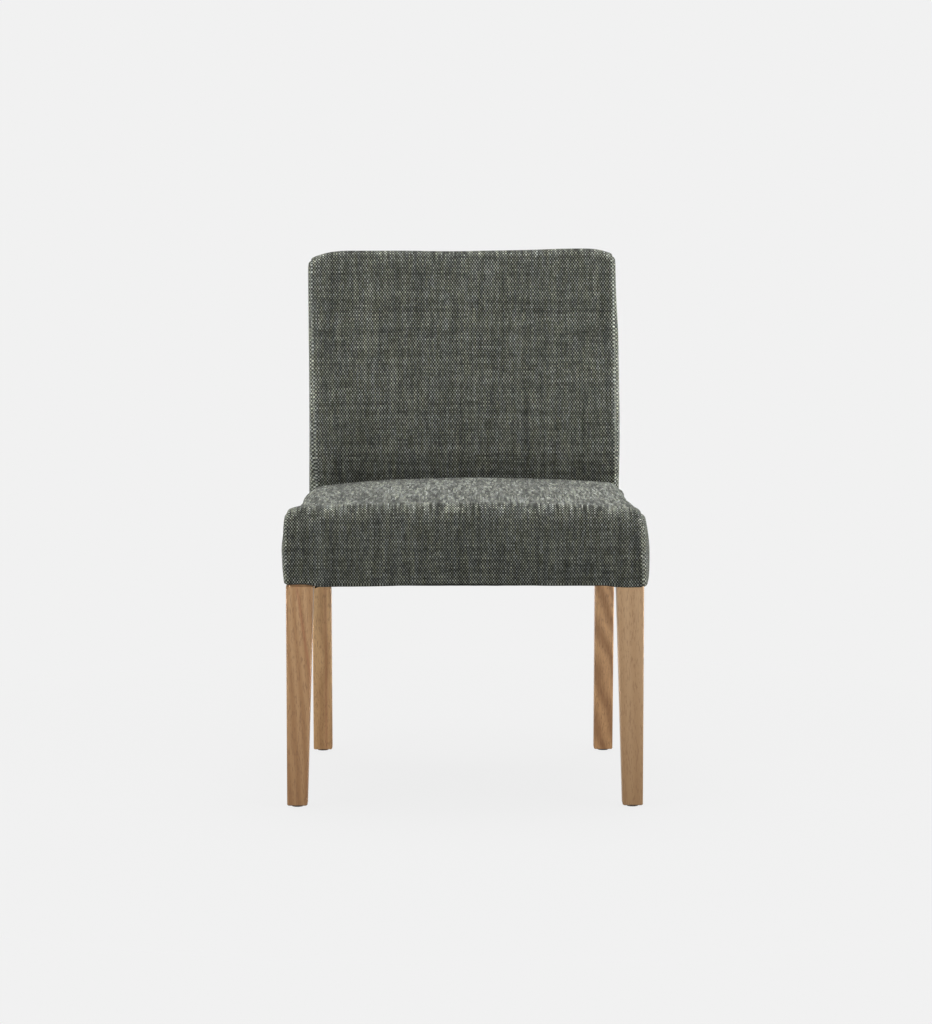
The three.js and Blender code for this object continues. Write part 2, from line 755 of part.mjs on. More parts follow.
// The cover is open under the seat, and behind, where the outside back panel closes it.
function seatCoverForm() {
  const mouth = [
    [-sideLine(hemReturn, hemReturn), hemReturn],
    [sideLine(hemReturn, hemReturn), hemReturn],
    [sideLine(seatLength, hemReturn), seatFormLength + overrun],
    [-sideLine(seatLength, hemReturn), seatFormLength + overrun],
  ];
  const rearHalf = postOuter + fit;
  const legHoles = [-1, 1].map((sign) => {
    const ends = [sign * (frontPostInner - fit), sign * (frontPostOuter + fit)].sort((a, b) => a - b);
    return block(
      [ends[0], wallOffset - fit, hemHeight - overrun],
      [ends[1], frontLegTop + fit, legTop + fit],
    );
  });
  return cut(
    solidOf(seatForm(0, hemHeight, 1)),
    seatForm(coverWall, hemHeight + hemWall, 0),
    planPrism(mouth, hemHeight - overrun, hemHeight + hemWall + overrun),
    wideSlab(postRear - fit, seatFormLength + overrun, hemHeight - overrun, backHeight),
    block([-rearHalf, rearRailFront - fit, hemHeight - overrun], [rearHalf, postRear, backHeight]),
    block([-rearHalf, postFront - fit, foamBottom], [rearHalf, postRear, backHeight]),
    postForm(-1, fit),
    postForm(1, fit),
    ...legHoles,
  );
}

function seatFoamForm() {
  return cut(
    solidOf(seatForm(foamInset, hemHeight + hemWall, 0)),
    wideSlab(-overrun, seatFormLength + overrun, hemHeight, foamBottom),
    wideSlab(postFront - fit, seatFormLength + overrun, hemHeight, backHeight),
  );
}

const backFoot = -postBendLength;
const seatTopCutter = () => seatForm(-2 * fit, hemHeight, 1);
const padRear = 2 * (webThickness + webGap) + fit;

function backCoverForm() {
  const rearFace = (v) => -postDepthAt(v);
  const openRear = (v) => -postDepthAt(v) - overrun;
  return cut(
    solidOf(backForm(0, backFoot, rearFace)),
    backForm(coverWall, backFoot - overrun, openRear),
    seatTopCutter(),
  );
}

// The foam lies in front of the posts and turns over their tops.
function backFoamForm() {
  const rearFace = (v) => fit - postDepthAt(v);
  const frameSpace = block([-backHalf, backFoot - overrun, -backHeight], [backHalf, postTopV + fit, padRear]);
  return cut(
    solidOf(backForm(foamInset, backFoot, rearFace)),
    frameSpace.applyMatrix4(leanTurn),
    seatTopCutter(),
  );
}

// The outside back: a thin panel from under the rear rail up over the bend to the top of the back.
function rearPanelForm() {
  const low = postRear + fit;
  const top = backTopV - rearPanelMargin;
  const along = (v, out) => {
    const p = new THREE.Vector3(0, v, -postDepthAt(v) - fit - out).applyMatrix4(leanTurn);
    return new THREE.Vector2(p.y, p.z);
  };
  const face = (out) => {
    const bend = along(postBendLength, out);
    const curve = new THREE.QuadraticBezierCurve(
      new THREE.Vector2(low + out, legTop),
      new THREE.Vector2(low + out, leanStart),
      bend,
    );
    return [new THREE.Vector2(low + out, hemHeight), ...curve.getPoints(bendSteps), along(top, out)];
  };
  const shape = new THREE.Shape([...face(rearPanelWall), ...face(0).reverse()]);
  const half = backHalf - rearPanelMargin;
  const sheet = new THREE.ExtrudeGeometry(shape, { depth: 2 * half, bevelEnabled: false });
  sheet.applyMatrix4(new THREE.Matrix4().makeBasis(
    new THREE.Vector3(0, 1, 0),
    new THREE.Vector3(0, 0, 1),
    new THREE.Vector3(1, 0, 0),
  ));
  sheet.translate(-half, 0, 0);
  const corner = [backCornerWide - rearPanelMargin, backCornerDeep - rearPanelMargin];
  const centre = [backHalf - backCornerWide, backTopV - backCornerDeep];
  const outline = new THREE.Shape();
  outline.moveTo(-half, -backHeight);
  outline.lineTo(half, -backHeight);
  outline.absellipse(...centre, ...corner, 0, Math.PI / 2);
  outline.absellipse(-centre[0], centre[1], ...corner, Math.PI / 2, Math.PI);
  outline.closePath();
  const trim = new THREE.ExtrudeGeometry(outline, {
    depth: backHeight,
    curveSegments: bendSteps,
    bevelEnabled: false,
  });
  trim.translate(0, 0, -backHeight + postSeatDepth).applyMatrix4(leanTurn);
  const lip = block(
    [fit - postInner, rearRailFront, hemHeight],
    [postInner - fit, low + rearPanelWall, hemHeight + hemWall],
  );
  return solidOf(sheet).intersect(solidOf(trim)).add(solidOf(lip));
}

// The platform cloth lies on the webbing, between the posts.
function platformForm() {
  const front = wallOffset + platformMargin;
  const rear = postFront - fit;
  const outline = [
    [-sideLine(front, platformMargin), front],
    [sideLine(front, platformMargin), front],
    [sideLine(rear, platformMargin), rear],
    [-sideLine(rear, platformMargin), rear],
  ];
  return planPrism(outline, platformBottom, platformBottom + platformWall);
}

// The dust cover closes the underside and is notched round the four legs.
function dustCoverForm() {
  const front = dustMargin;
  const rear = postRear - dustMargin;
  const top = hemHeight - fit;
  const outline = [
    [-seatHalf(front) + dustMargin, front],
    [seatHalf(front) - dustMargin, front],
    [seatHalf(rear) - dustMargin, rear],
    [-seatHalf(rear) + dustMargin, rear],
  ];
  const sheet = solidOf(planPrism(outline, top - dustWall, top));
  const legHoles = [-1, 1].map((sign) => {
    const x = sign * (seatHalfFront - frontLegTop / 2);
    const half = frontLegTop / 2 + dustNotch;
    const reach = frontLegTop + dustNotch;
    return block([x - half, -overrun, top - dustWall - overrun], [x + half, reach, top + overrun]);
  });
  return cut(sheet, ...legHoles, postForm(-1, dustNotch), postForm(1, dustNotch));
}

// Glides: a disc with a rounded edge and a nail that goes up into the foot.
function glideForm(grow) {
  const profile = [
    [0, 0],
    [glideRadius - glideEdge, 0],
    [glideRadius, glideEdge],
    [glideRadius, glideHeight],
    [nailRadius + grow, glideHeight],
    [nailRadius + grow, glideHeight + nailLength - nailPoint + grow],
    [0, glideHeight + nailLength + grow],
  ];
  return turned(profile, glideSides);
}

function glidePlaces() {
  const places = [];
  onBothSides((side, sign) => {
    places.push({ name: "front_" + side, x: sign * (seatHalfFront - frontLegFoot / 2), y: frontLegFoot / 2 });
    places.push({ name: "rear_" + side, x: sign * (postOuter - postWidth / 2), y: footMiddle });
  });
  return places;
}

// The chair, put together

const glides = glidePlaces();
const nailHole = (name) => {
  const place = glides.find((glide) => glide.name === name);
  return glideForm(fit).translate(place.x, place.y, 0);
};

onBothSides((side, sign) => {
  const leg = cut(
    solidOf(frontLegForm(sign)),
    crossTenon(frontPostInner, wallOffset, fit),
    sideTenon(sign, fit),
    nailHole("front_" + side),
  );
  addPiece("front_leg_" + side, leg, oak);
  const post = cut(
    solidOf(postForm(sign, 0)),
    crossTenon(postInner, rearRailFront, fit),
    sideTenon(sign, fit),
    ...backRails.map((rail) => backRail(rail.low, rail.height, fit).tenon),
    nailHole("rear_" + side),
  );
  addPiece("rear_post_" + side, post, oak);
  addPiece("side_rail_" + side, cut(sideRailForm(sign), ...screwHoles(sign, 0)), hiddenWood);
});

addPiece("front_rail", cut(crossRailForm(frontPostInner, wallOffset), ...screwHoles(0, -1)), hiddenWood);
addPiece("rear_rail", cut(crossRailForm(postInner, rearRailFront), ...screwHoles(0, 1)), hiddenWood);
backRails.forEach((rail) => {
  const { body, tenon } = backRail(rail.low, rail.height, 0);
  addPiece(rail.name, join(body, tenon), hiddenWood);
});

corners.forEach((place, i) => {
  addPiece("corner_block_" + place.name, blockForm(place, i), hiddenWood);
  screws[i].forEach((screw, j) => {
    const form = aimed(screwForm(0), screw.from, screw.direction);
    addPiece("block_screw_" + place.name + "_" + (j + 1), solidOf(form), steel);
  });
});

addSeatWebbing();
addBackWebbing();
addPiece("seat_platform_cloth", platformForm(), jute);
addPiece("seat_foam", seatFoamForm(), foam);
addPiece("back_foam", backFoamForm(), foam);
addPiece("seat_cover", seatCoverForm(), cloth);
addPiece("back_cover", backCoverForm(), cloth);
addPiece("outside_back_panel", rearPanelForm(), cloth);
addPiece("dust_cover", dustCoverForm(), blackCloth);
glides.forEach((place) => {
  addPiece("glide_" + place.name, glideForm(0).translate(place.x, place.y, 0), nylon);
});

// The origin is the middle of the chair's footprint, on the floor.
const bounds = new THREE.Box3().setFromObject(chair);
const middle = bounds.getCenter(new THREE.Vector3());
chair.position.set(-middle.x, -middle.y, -bounds.min.z);

export default chair;
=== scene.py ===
"""Looks of an upholstered dining chair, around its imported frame. Metres, +Z up, and the chair faces -Y."""

import math

import bpy
import numpy as np
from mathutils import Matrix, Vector, noise


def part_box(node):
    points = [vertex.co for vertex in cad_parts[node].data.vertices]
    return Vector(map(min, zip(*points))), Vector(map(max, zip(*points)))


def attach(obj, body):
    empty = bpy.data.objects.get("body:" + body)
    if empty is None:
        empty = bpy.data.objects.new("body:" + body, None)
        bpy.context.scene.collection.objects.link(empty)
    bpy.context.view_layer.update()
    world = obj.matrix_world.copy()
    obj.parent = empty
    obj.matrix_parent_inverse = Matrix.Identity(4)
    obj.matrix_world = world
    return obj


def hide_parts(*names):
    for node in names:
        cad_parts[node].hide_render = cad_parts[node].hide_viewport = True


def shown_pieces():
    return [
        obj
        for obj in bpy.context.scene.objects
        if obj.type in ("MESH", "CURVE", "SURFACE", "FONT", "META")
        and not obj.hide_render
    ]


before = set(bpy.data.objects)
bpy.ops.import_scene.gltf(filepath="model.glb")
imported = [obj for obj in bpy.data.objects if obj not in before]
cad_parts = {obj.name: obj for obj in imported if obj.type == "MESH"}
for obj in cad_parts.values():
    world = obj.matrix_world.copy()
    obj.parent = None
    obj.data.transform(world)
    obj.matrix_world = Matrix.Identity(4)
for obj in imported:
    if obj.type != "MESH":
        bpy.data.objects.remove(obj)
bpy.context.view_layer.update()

LEFT, RIGHT = -1, 1

# Places taken from the frame
LEG_LOW, LEG_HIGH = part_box("front_leg_right")
POST_LOW, POST_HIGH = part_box("rear_post_right")
RAIL_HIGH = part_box("rear_rail")[1]
FRONT = LEG_LOW.y
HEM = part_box("seat_cover")[0].z
FRONT_HALF = LEG_HIGH.x
SIDE_BEYOND_POST = 0.005
REAR_HALF = POST_HIGH.x + SIDE_BEYOND_POST
LEG_SIZE = LEG_HIGH.x - LEG_LOW.x
LEG_INNER = LEG_LOW.x
POST_INNER = POST_LOW.x
SEAT_LENGTH = RAIL_HIGH.y - FRONT
POST_DEPTH = 0.038
POST_TOP_DEPTH = 0.024
POST_FRONT = SEAT_LENGTH - POST_DEPTH
RAIL_TOP = RAIL_HIGH.z

# Cloth. NEAR_SEAM holds the first grid lines beside a seam, as distances from it.
CLOTH_WALL = 0.002
GROOVE = 0.0030
GROOVE_REACH = 0.0038
PUCKER = 0.0005
PUCKER_LENGTH = 0.009
PUCKER_REACH = 0.018
WAVE = 0.0009
WAVE_LENGTH = 0.11
WAVE_SKEW = 3.1
WAVE_LAYER = 7.7
WAVE_FADE = 0.02
NEAR_SEAM = [0, 0.0012, 0.0027, 0.0048, 0.0075, 0.011]
CORNER_TURN = 0.0036
GRID = 0.008
FINE_GRID = 0.0065

# The turned hem. It is narrower where it meets a leg.
HEM_RADIUS = 0.0024
HEM_RETURN = 0.022
HEM_STEP = 0.002
HEM_AT_LEG = 0.0042
HEM_LEG_FADE = 0.012
HEM_FOLD_ANGLES = (30, 60, 90)
HEM_RETURN_SHARES = (0.3, 0.65, 1)

# Seat. Pairs are (left, right), and tables run from the front to the rear or from the foot to the top.
SEAT_DECK = RAIL_TOP + 0.0502
SEAT_ROLL = 0.031
SEAT_ROLL_ANGLE = 9
SEAT_REAR = 0.4500
SEAT_REAR_CORNER = 0.0125
SEAT_REAR_CORNER_RUN = 0.06
SEAT_REAR_CORNER_POWER = 10
SEAT_TUCK = 0.030
SEAT_TUCK_ROLL = 0.008
SEAT_TUCK_DRAW = 0.006
SEAT_TUCK_SHARES = (1, 0.75, 0.5, 0.25)
SEAT_TUCK_ANGLES = (90, 67, 45, 22)
SEAT_CROWN = 0.0052
SEAT_CROWN_POWER = 1.6
SEAT_REAR_CROWN = 0.0020
SEAT_REAR_CROWN_START = 0.25
SEAT_ROLL_FILL_SHARE = 0.55
SEAT_FULL_AT = 0.15
FACE_SWELL = 0.0045
FACE_SWELL_POWER = 4
FACE_CORNER_SHARE = 0.35
SEAT_SWELL_RUN = 0.026
SEAT_REAR_SWELL_SHARE = 0.6
SEAT_DRAWN_SHARE = 0.45
SEAT_BESIDE_BACK = 0.0012
SEAT_BEHIND_DECK = 0.006
SEAT_SIDE_SHORT = 0.0005
SEAT_SIDE_LAP = 0.0002
SEAT_SWELL_HEIGHTS = [0, 0.05, 0.15, 0.30, 0.50, 0.70, 0.85, 1]
SEAT_SWELLS = (
    [0.0020, 0.0030, 0.0043, 0.0050, 0.0055, 0.0048, 0.0034, 0.0034],
    [0.0053, 0.0066, 0.0076, 0.0080, 0.0083, 0.0082, 0.0074, 0.0054],
)
SEAT_DEPTHS = [0, 0.03, 0.085, 0.14, 0.20, 0.27, 0.35, 0.43, 0.50]
SEAT_DRAWS = (
    [0, 0.0015, 0.0142, 0.0152, 0.0115, 0.0078, 0.0065, 0.0080, 0.0070],
    [0.0040, 0.0030, 0.0058, 0.0068, 0.0096, 0.0093, 0.0068, 0.0053, 0.0045],
)
SEAT_FALLS = (
    [0.0048, 0.0050, 0.0062, 0.0068, 0.0075, 0.0087, 0.0112, 0.0140, 0.0140],
    [0.0060, 0.0062, 0.0068, 0.0070, 0.0070, 0.0067, 0.0065, 0.0064, 0.0064],
)
SEAT_EDGES = (
    [0.0025, 0.0036, 0.0058, 0.0075, 0.0090, 0.0115, 0.0135, 0.0140, 0.0140],
    [0.0075, 0.0075, 0.0078, 0.0080, 0.0080, 0.0080, 0.0075, 0.0075, 0.0075],
)
SEAT_EDGE_WIDE = 0.016
SEAT_EDGE_POWER = 2.6
FACE_SEAM = (-0.0022, 0.0028)
FACE_SEAM_LOW = (-0.0015, 0.0002)
SEAT_PUCKER_RISE = 8
SEAT_WAVE_RISE = 6
SEAT_SEED = 4.0
SEAT_PUCKER_SEED = 2.3
SIDE_PUCKER_SEED = 5.1
HEM_LIFT = 0.0012
HEM_PLACES = [-0.281, -0.246, -0.234, -0.20, -0.12, -0.07, 0.02, 0.07, 0.12, 0.19, 0.228, 0.241, 0.281]
HEM_LIFTS = [
    0.0032, 0.0032, 0.0003, 0.0001, 0.0010, 0.0028, 0.0033, 0.0028, 0.0013, 0.0012, 0.0006, -0.0012, -0.0016,
]

# Back. Its tables run from the foot to the top, or from the left to the right.
LEAN = math.radians(12)
PIVOT = RAIL_TOP + 0.040
BACK_HEIGHT = 0.862
BACK_PAD = 0.028
BACK_ROLL = 0.020
BACK_ROLL_ANGLE = 10
BACK_CROWN = 0.0075
BACK_CROWN_PEAK = 0.45
BACK_CROWN_POWER = 2.4
BACK_FOOT = -0.0025
BACK_TUCK = 0.040
BACK_TUCK_SHARES = (0.2, 0.4, 0.6, 0.8, 1)
BACK_CREASE_DEEP = 0.024
BACK_CREASE_RUN = 0.066
BACK_CREASE_AT_SEAM = 0.35
BACK_CREASE_FADE = 0.03
BEND = 0.060
BEND_STEP_SHARE = 0.1
BACK_TOP = (BACK_HEIGHT - PIVOT) / math.cos(LEAN)
BACK_TOP_RUN = 0.095
BACK_TOP_GRID = 0.006
POST_TOP = BACK_TOP - 0.025
REAR_LAP = 0.004
REAR_DROP = 0.0008
BACK_CORNER_WIDE = (0.074, 0.049)
BACK_CORNER_DEEP = (0.0138, 0.0098)
BACK_CORNER_POWER = 2.6
BACK_SHOULDER = (0.011, 0.0085)
BACK_HEIGHTS = [0, 0.10, 0.20, 0.26, 0.32, 0.37, 0.41]
BACK_SEAMS = (
    [0.2502, 0.2530, 0.2566, 0.2585, 0.2598, 0.2602, 0.2602],
    [0.2592, 0.2588, 0.2586, 0.2580, 0.2574, 0.2568, 0.2562],
)
BACK_OUTERS = (
    [0.2598, 0.2598, 0.2607, 0.2615, 0.2622, 0.2627, 0.2627],
    [0.2628, 0.2646, 0.2637, 0.2628, 0.2600, 0.2588, 0.2588],
)
STRIP_RUN = 0.014
STRIP_RUN_SHARE = 0.8
STRIP_FOOT = 0.01
STRIP_WAVE_SHARE = 0.4
TOP_PLACES = [-0.26, -0.107, 0.0, 0.106, 0.182, 0.26]
TOP_LIFTS = [-0.0054, -0.0058, -0.0062, -0.0042, -0.0022, -0.0022]
BACK_SEED = 11.0
BACK_PUCKER_SEED = 3.7


# Helpers

def smooth(value, low, high):
    """0 below low, 1 above high, and a smooth step between."""
    share = min(1, max(0, (value - low) / (high - low)))
    return share * share * (3 - 2 * share)


def mixed(low, high, share):
    return low + (high - low) * share


def of(pair, sign):
    """The value of the left or the right side."""
    return pair[0] if sign < 0 else pair[1]


def spaced(first, last, step):
    """Evenly spaced values about a step apart, both ends included."""
    count = max(1, round(abs(last - first) / step))
    return [mixed(first, last, i / count) for i in range(count + 1)]


def gathered(first, last, step):
    """Values from first to last that start with the small steps beside a seam."""
    direction = math.copysign(1, last - first)
    starts = [first + direction * reach for reach in NEAR_SEAM]
    return starts[:-1] + spaced(starts[-1], last, step)


def curve(value, places, heights):
    """A smooth curve through heights at places."""
    value = min(places[-1], max(places[0], value))
    i = max(k for k in range(len(places) - 1) if value >= places[k])
    slopes = np.gradient(heights, places)
    run = places[i + 1] - places[i]
    t = (value - places[i]) / run
    low = heights[i] * (1 + 2 * t) * (1 - t) ** 2 + heights[i + 1] * t * t * (3 - 2 * t)
    return low + run * (slopes[i] * t * (1 - t) ** 2 - slopes[i + 1] * t * t * (1 - t))


def waves(place, seed):
    """The slow waves of cloth over padding."""
    return WAVE * noise.noise(Vector(place) / WAVE_LENGTH + Vector((seed, WAVE_SKEW * seed, WAVE_LAYER)))


def pucker(run, inset, seed):
    """Small gathers beside a seam, at a place along it and a distance from it."""
    near = max(0, 1 - inset / PUCKER_REACH) * smooth(inset, 0, GROOVE_REACH)
    return PUCKER * near * noise.noise(Vector((run / PUCKER_LENGTH, inset / PUCKER_REACH, seed)))


def groove(inset):
    """How far the cloth lies below its own surface near a seam."""
    return GROOVE * max(0, 1 - inset / GROOVE_REACH) ** 2


def crossways(width):
    """Lanes from the left seam to the right one: (side, inset) near a seam, (0, share) between."""
    near = NEAR_SEAM[:-1]
    left = [(LEFT, inset) for inset in near]
    middle = [(0, share) for share in spaced(0, 1, GRID / width)]
    return left + middle + [(RIGHT, inset) for inset in reversed(near)]


def lane_place(lane, halves):
    """Place across the chair, side, and distance from the nearer seam."""
    side, value = lane
    if side:
        return side * (of(halves, side) - value), side, value
    reach = NEAR_SEAM[-1]
    x = mixed(reach - halves[0], halves[1] - reach, value)
    side = LEFT if x < 0 else RIGHT
    return x, side, of(halves, side) - abs(x)


def corner_drop(inset, wide, deep, power):
    """Height lost at a soft corner, at a distance from its side."""
    return deep * min(1, max(0, 1 - inset / wide)) ** power


def shoulder(share):
    """A round edge: 1 at share 0, 0 at share 1."""
    left = 1 - min(1, max(0, share))
    return 1 - math.sqrt(1 - left * left)


def cloth_rows(rows, ways):
    """Places on the flat cloth: x as it lies, and the run over the middle. Each row leads on in its way."""
    middle = len(rows[0]) // 2
    run, cloth = 0, []
    for i, (row, way) in enumerate(zip(rows, ways)):
        centre = row[middle]
        if i:
            run += (Vector(centre) - Vector(rows[i - 1][middle])).length
        cloth.append([
            (p[0], -run - (p[1] - centre[1]) * way[0] - (p[2] - centre[2]) * way[1]) for p in row
        ])
    return cloth


def fold_places(place, inward, reach, hem):
    """The soft fold of a hem at a place, and its return inwards, as (x, depth, height, distance in)."""
    steps = []
    for angle in HEM_FOLD_ANGLES:
        turn = math.radians(angle)
        steps.append((HEM_RADIUS * (1 - math.cos(turn)), hem + HEM_RADIUS * (1 - math.sin(turn))))
    for share in HEM_RETURN_SHARES:
        steps.append((HEM_RADIUS + (reach - HEM_RADIUS) * share, hem))
    return [(place[0] + inward[0] * s, place[1] + inward[1] * s, z, s) for s, z in steps]


def add_hem(rows, cloth, folds, along):
    """Adds a hem, given as one fold for each point of the foot. along is the axis that runs along it."""
    hem_run = cloth[-1][len(folds) // 2][1]
    for k, row in enumerate(zip(*folds)):
        rows.append(list(row))
        cloth.append([(place[along], hem_run - HEM_STEP * (k + 1)) for place in row])


def side_edges(rows, spots, sign):
    """A main panel's edge on one side: backwards over its top, and down its front."""
    kinds = [spot[4] for spot in spots]
    start = next(i for i, kind in enumerate(kinds) if kind != "tuck")
    turn = kinds.index("roll") - 1
    edge = [row[0 if sign < 0 else -1] for row in rows[:len(spots)]]
    return edge[start:turn + 1][::-1], edge[turn:]


def sew_on(rows, top, front):
    """Sews a side panel to its main panel, whose edge gives its first row and its first column."""
    rows[0][:len(top)] = top
    for row, place in zip(rows, front):
        row[0] = place


class Skin:
    """Vertices, faces and cloth coordinates of one sewn piece."""

    def __init__(self, stretch=(1, 1)):
        self.points, self.faces, self.cloth, self.known = [], [], [], {}
        self.stretch = stretch

    def vertex(self, point):
        """The number of the vertex at a point, which is made once."""
        key = tuple(round(c, 6) for c in point)
        if key not in self.known:
            self.known[key] = len(self.points)
            self.points.append(tuple(point))
        return self.known[key]

    def grid(self, points, cloth, flip=False):
        """A patch over rows of points, each with its place on the flat cloth. None leaves a hole."""
        index = [[p and self.vertex(p) for p in row] for row in points]
        for i in range(len(points) - 1):
            for j in range(len(points[0]) - 1):
                corners = [(i, j), (i, j + 1), (i + 1, j + 1), (i + 1, j)]
                if any(index[r][c] is None for r, c in corners):
                    continue
                if flip:
                    corners.reverse()
                face, places = [], []
                for r, c in corners:
                    if index[r][c] not in face:
                        face.append(index[r][c])
                        places.append(cloth[r][c])
                if len(face) > 2:
                    self.faces.append(face)
                    self.cloth.append(places)

    def build(self, name, wall, levels=1):
        """The piece, given a thickness inwards, and subdivided."""
        mesh = bpy.data.meshes.new(name)
        mesh.from_pydata(self.points, [], self.faces)
        weave = mesh.uv_layers.new(name="Weave")
        flat = [c * s for places in self.cloth for p in places for c, s in zip(p, self.stretch)]
        weave.data.foreach_set("uv", flat)
        mesh.shade_smooth()
        piece = bpy.data.objects.new(name, mesh)
        bpy.context.scene.collection.objects.link(piece)
        shell = piece.modifiers.new("Wall", "SOLIDIFY")
        shell.thickness = wall
        shell.offset = -1
        apply_modifiers(piece)
        if levels:
            finer = piece.modifiers.new("Finer", "SUBSURF")
            finer.levels = finer.render_levels = levels
            finer.uv_smooth = "PRESERVE_BOUNDARIES"
            apply_modifiers(piece)
        return piece


def apply_modifiers(piece):
    bpy.context.view_layer.update()
    graph = bpy.context.evaluated_depsgraph_get()
    mesh = bpy.data.meshes.new_from_object(
        piece.evaluated_get(graph), preserve_all_data_layers=True, depsgraph=graph
    )
    piece.modifiers.clear()
    piece.data = mesh


# Seat, in places (x, a, b): a runs back from the front of the legs and b is the height

ROLL_END = SEAT_DECK - SEAT_ROLL


def seat_place(place):
    """The world's place of a place (x, a, b)."""
    return place[0], FRONT + place[1], place[2]


def seat_line(a):
    """Half the width of the seat's foot line."""
    return mixed(FRONT_HALF, REAR_HALF, max(0, a - LEG_SIZE) / (SEAT_LENGTH - LEG_SIZE))


def seat_top_half(sign, a):
    """Half the width of the seat's top, between its seams."""
    return seat_line(a) - curve(a, SEAT_DEPTHS, of(SEAT_DRAWS, sign))


def hem_height(x):
    """Height of the front hem, which isn't quite level."""
    return HEM + HEM_LIFT + curve(x, HEM_PLACES, HEM_LIFTS)


def seat_point(spot, lane):
    """A point of the seat's main panel. spot is (a, b, out_a, out_b, kind, share)."""
    a, b, out_a, out_b, kind, share = spot
    if kind == "face":
        halves = [
            FRONT_HALF - mixed(low, high, share)
            for low, high in zip(FACE_SEAM_LOW, FACE_SEAM)
        ]
    else:
        fronts = [FRONT_HALF - pull for pull in FACE_SEAM]
        tops = [seat_top_half(sign, max(a, SEAT_ROLL)) for sign in (LEFT, RIGHT)]
        blend = smooth(a, 0, SEAT_ROLL)
        halves = [mixed(front, top, blend) for front, top in zip(fronts, tops)]
    if kind == "tuck":
        halves = [half - SEAT_TUCK_DRAW * share for half in halves]
    x, sign, inset = lane_place(lane, halves)
    across = abs(x) / of(halves, sign)
    at_rear = smooth(a, SEAT_REAR - SEAT_REAR_CORNER_RUN, SEAT_REAR)
    a -= SEAT_REAR_CORNER * across ** SEAT_REAR_CORNER_POWER * at_rear
    if kind == "face":
        run = b
        rise = FACE_SWELL * math.sin(math.pi * share) * (1 - across ** FACE_SWELL_POWER)
        fade = smooth(share, FACE_CORNER_SHARE, 1)
    else:
        run = a
        fill = mixed(SEAT_ROLL_FILL_SHARE, 1, smooth(a, SEAT_ROLL, SEAT_FULL_AT))
        crown = mixed(SEAT_CROWN, SEAT_REAR_CROWN, smooth(a, SEAT_REAR_CROWN_START, SEAT_REAR))
        rise = crown * math.cos(math.pi / 2 * across ** SEAT_CROWN_POWER) * fill * out_b
        fade = 1
    sunk = groove(inset)
    wave = waves((x, a, b), SEAT_SEED) * smooth(inset, 0, WAVE_FADE)
    rise += pucker(run, inset, SEAT_PUCKER_SEED * sign) + wave - sunk
    drop = curve(a, SEAT_DEPTHS, of(SEAT_FALLS, sign)) * across ** 2
    drop += corner_drop(inset, SEAT_EDGE_WIDE, curve(a, SEAT_DEPTHS, of(SEAT_EDGES, sign)), SEAT_EDGE_POWER)
    return x - sign * sunk, a - out_a * rise, b + out_b * rise - drop * fade


def seat_spots():
    """The seat's side view from its tuck at the rear, over the deck, to the foot of the face."""
    spots = []
    top = SEAT_DECK - SEAT_TUCK_ROLL
    for share in SEAT_TUCK_SHARES:
        spots.append((SEAT_REAR, top - SEAT_TUCK * share, -1, 0, "tuck", share))
    for angle in SEAT_TUCK_ANGLES:
        turn = math.radians(angle)
        a = SEAT_REAR - SEAT_TUCK_ROLL * (1 - math.sin(turn))
        b = top + SEAT_TUCK_ROLL * math.cos(turn)
        spots.append((a, b, -math.sin(turn), math.cos(turn), "deck", 0))
    for a in reversed(gathered(SEAT_ROLL, SEAT_REAR - SEAT_TUCK_ROLL, GRID)):
        spots.append((a, SEAT_DECK, 0, 1, "deck", 0))
    for angle in spaced(0, 90, SEAT_ROLL_ANGLE)[1:]:
        turn = math.radians(angle)
        a = SEAT_ROLL * (1 - math.sin(turn))
        b = ROLL_END + SEAT_ROLL * math.cos(turn)
        kind = "face" if angle == 90 else "roll"
        spots.append((a, b, math.sin(turn), math.cos(turn), kind, 1))
    for share in spaced(1, 0, FINE_GRID / (ROLL_END - HEM))[1:]:
        spots.append((0, share, 1, 0, "face", share))
    return spots


def build_seat():
    """The seat's main panel with its front hem, and its two side panels."""
    skin = Skin(stretch=SEAT_STRETCH)
    spots = seat_spots()
    lanes = crossways(2 * FRONT_HALF)
    rows = []
    for spot in spots:
        row = []
        for lane in lanes:
            if spot[4] == "face" and spot[0] == 0 and spot[3] == 0:
                x_guess = lane_place(lane, [FRONT_HALF, FRONT_HALF])[0]
                low = hem_height(x_guess) + HEM_RADIUS
                row.append(seat_point((0, mixed(low, ROLL_END, spot[5])) + spot[2:], lane))
            else:
                row.append(seat_point(spot, lane))
        rows.append(row)
    cloth = cloth_rows(rows, [(-out_b, -out_a) for _, _, out_a, out_b, _, _ in spots])
    folds = []
    for foot in rows[-1]:
        corner = rows[-1][0 if foot[0] < 0 else -1]
        at_leg = smooth(abs(foot[0]), LEG_INNER - HEM_LEG_FADE, LEG_INNER)
        reach = mixed(HEM_RETURN, HEM_AT_LEG, at_leg)
        hem = hem_height(foot[0])
        mitre = at_leg * (foot[0] / abs(corner[0]))
        places = fold_places((foot[0], foot[1]), (0, 1), reach, hem)
        folds.append([(x - s * mitre, a, b) for x, a, b, s in places])
    add_hem(rows, cloth, folds, 0)
    skin.grid([[seat_place(p) for p in row] for row in rows], cloth)
    for sign in (LEFT, RIGHT):
        side_of_seat(skin, sign, *side_edges(rows, spots, sign))
    piece = skin.build("seat_upholstery", CLOTH_WALL)
    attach(piece, "root")
    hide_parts("seat_cover", "seat_foam")


